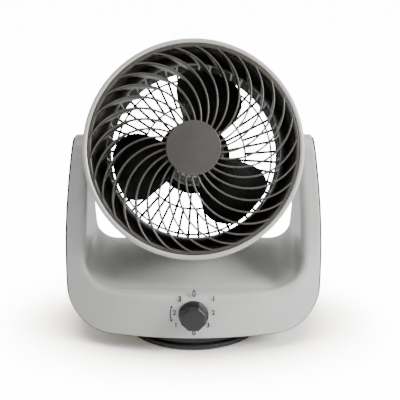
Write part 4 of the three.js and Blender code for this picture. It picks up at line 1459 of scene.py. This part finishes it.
# Sintered bronze: brown and dull, from the oil in its pores.
bronze = plated_steel("Bronze, sintered", "#8d6a34", 0.5, 0.15)
carry(zinc_steel, SMALL_EDGE, "motor_front_cap", "motor_rear_cap", "motor_shaft")
carry(stacked_steel, 0, "motor_stator", "motor_rotor")
carry(copper_wire, 0.8, "winding_front", "winding_rear")
carry(bronze, 0, "bearing_front", "bearing_rear")

# ---------- Rear guard ----------
# Black ABS drum of ribs: forty-eight run over the back, turn the corner and run forward past the
# rim to the throat. Two hoops tie them, and a cup in the middle carries the motor.

GUARD_RIBS = 48
GUARD_HUB = 36
GUARD_REACH = -73
GUARD_SLOPE = 0.12
GUARD_INNER = 59.5  # radii of the two hoops
GUARD_OUTER = 89
GUARD_CORNER = 88
GUARD_BEND = 9.4
GUARD_SIDE = 97.4
GUARD_FOOT = -46
LEG_RADIUS = 94.4
LEG_FRONT = 10
BAR_WIDE = 1.45
BAR_DEEP = 1.7

# Guard ABS: satin black, so that the bars stand out as plain dark lines.
guard_abs = moulded_plastic("Black ABS, satin moulding", "#121211", "#1a1918", 0.4, 0.5, 0.2)


def guard_at(r):
    """Middle of the guard's ribs at a radius."""
    return GUARD_REACH + GUARD_SLOPE * (r - GUARD_HUB)


def rod_along(shape, path, half_wide, half_deep, sides=8):
    """A rounded bar along a path in the head; each stop gives its place, and which way is across."""
    rings = []
    for i, (spot, across) in enumerate(path):
        before = path[max(0, i - 1)][0]
        after = path[min(len(path) - 1, i + 1)][0]
        ahead = (after - before).normalized()
        deep = ahead.cross(across).normalized()
        ring = []
        for k in range(sides):
            turn = 2 * math.pi * (k + 0.5) / sides
            ring.append(spot + across * (half_wide * math.cos(turn)) + deep * (half_deep * math.sin(turn)))
        rings.append([HEAD_PLACE @ p for p in ring])
    shape.loft(rings, capped=True)


guard_shape = Shape()
for k in range(GUARD_RIBS):
    turn = 2 * math.pi * (k + 0.5) / GUARD_RIBS
    outward = Vector((math.sin(turn), 0, math.cos(turn)))
    across = Vector((math.cos(turn), 0, -math.sin(turn)))
    start = GUARD_INNER if k % 2 else GUARD_HUB - 0.5
    line = [(r, guard_at(r)) for r in (mix(start, GUARD_CORNER, i / 8) for i in range(9))]
    corner = line[-1][1] + GUARD_BEND
    for i in range(1, 9):
        bend = math.pi / 2 * i / 8
        line.append((GUARD_CORNER + GUARD_BEND * math.sin(bend), corner - GUARD_BEND * math.cos(bend)))
    line += [(GUARD_SIDE, mix(corner, GUARD_FOOT, i / 3)) for i in range(1, 4)]
    rod_along(guard_shape, [(outward * r + Vector((0, -d, 0)), across) for r, d in line], BAR_WIDE, BAR_DEEP)
    leg = [(LEG_RADIUS, d) for d in (GUARD_FOOT - 1, -30, -10, LEG_FRONT)]
    rod_along(guard_shape, [(outward * r + Vector((0, -d, 0)), across) for r, d in leg], 1.3, 1.1)

for radius in (GUARD_INNER, GUARD_OUTER):
    middle = guard_at(radius) - BAR_DEEP
    hoop = []
    for n in range(12):
        bend = 2 * math.pi * n / 12
        hoop.append((radius + 1.1 * math.cos(bend), middle + 1.5 * math.sin(bend)))
    revolve(guard_shape, hoop, in_head, 144)
revolve(
    guard_shape,
    rounded_profile([(93.4, -49), (100.5, -49), (100.5, -45.3), (93.4, -45.3)], 0.8),
    in_head,
    144,
)
revolve(
    guard_shape,
    rounded_profile(
        [(26.3, -81.3), (37, -81.3), (37, -69), (34.3, -69), (34.3, -78.9), (26.3, -78.9)],
        [0.5, 1.2, 0.6, 0.6, 0.3, 0.5],
    ),
    in_head,
    96,
)
make("guard_drum", guard_shape, "head", guard_abs, "charcoal_plastic", "rear_guard", sharp=45)

# ---------- Rear cover ----------
# Dished charcoal ABS cover over the back of the motor. It is moulded in the same resin as the
# rear shell and clipped over the guard's cup.

COVER_RADIUS = 42
COVER_LIP = -74.6
COVER_BACK = -93.03
head_ring(
    "motor_cover",
    [
        (0.3, COVER_BACK),
        (27, COVER_BACK),
        (COVER_RADIUS - 2, COVER_BACK + 8.2),
        (COVER_RADIUS, COVER_LIP),
        (COVER_RADIUS - 2.4, COVER_LIP),
        (COVER_RADIUS - 4.4, COVER_BACK + 9.2),
        (26, COVER_BACK + 2.4),
        (0.3, COVER_BACK + 2.4),
    ],
    [0, 7, 6, 0.5, 0.5, 4, 6, 0],
    "head",
    charcoal_abs,
    "charcoal_plastic",
    "rear_cover",
)
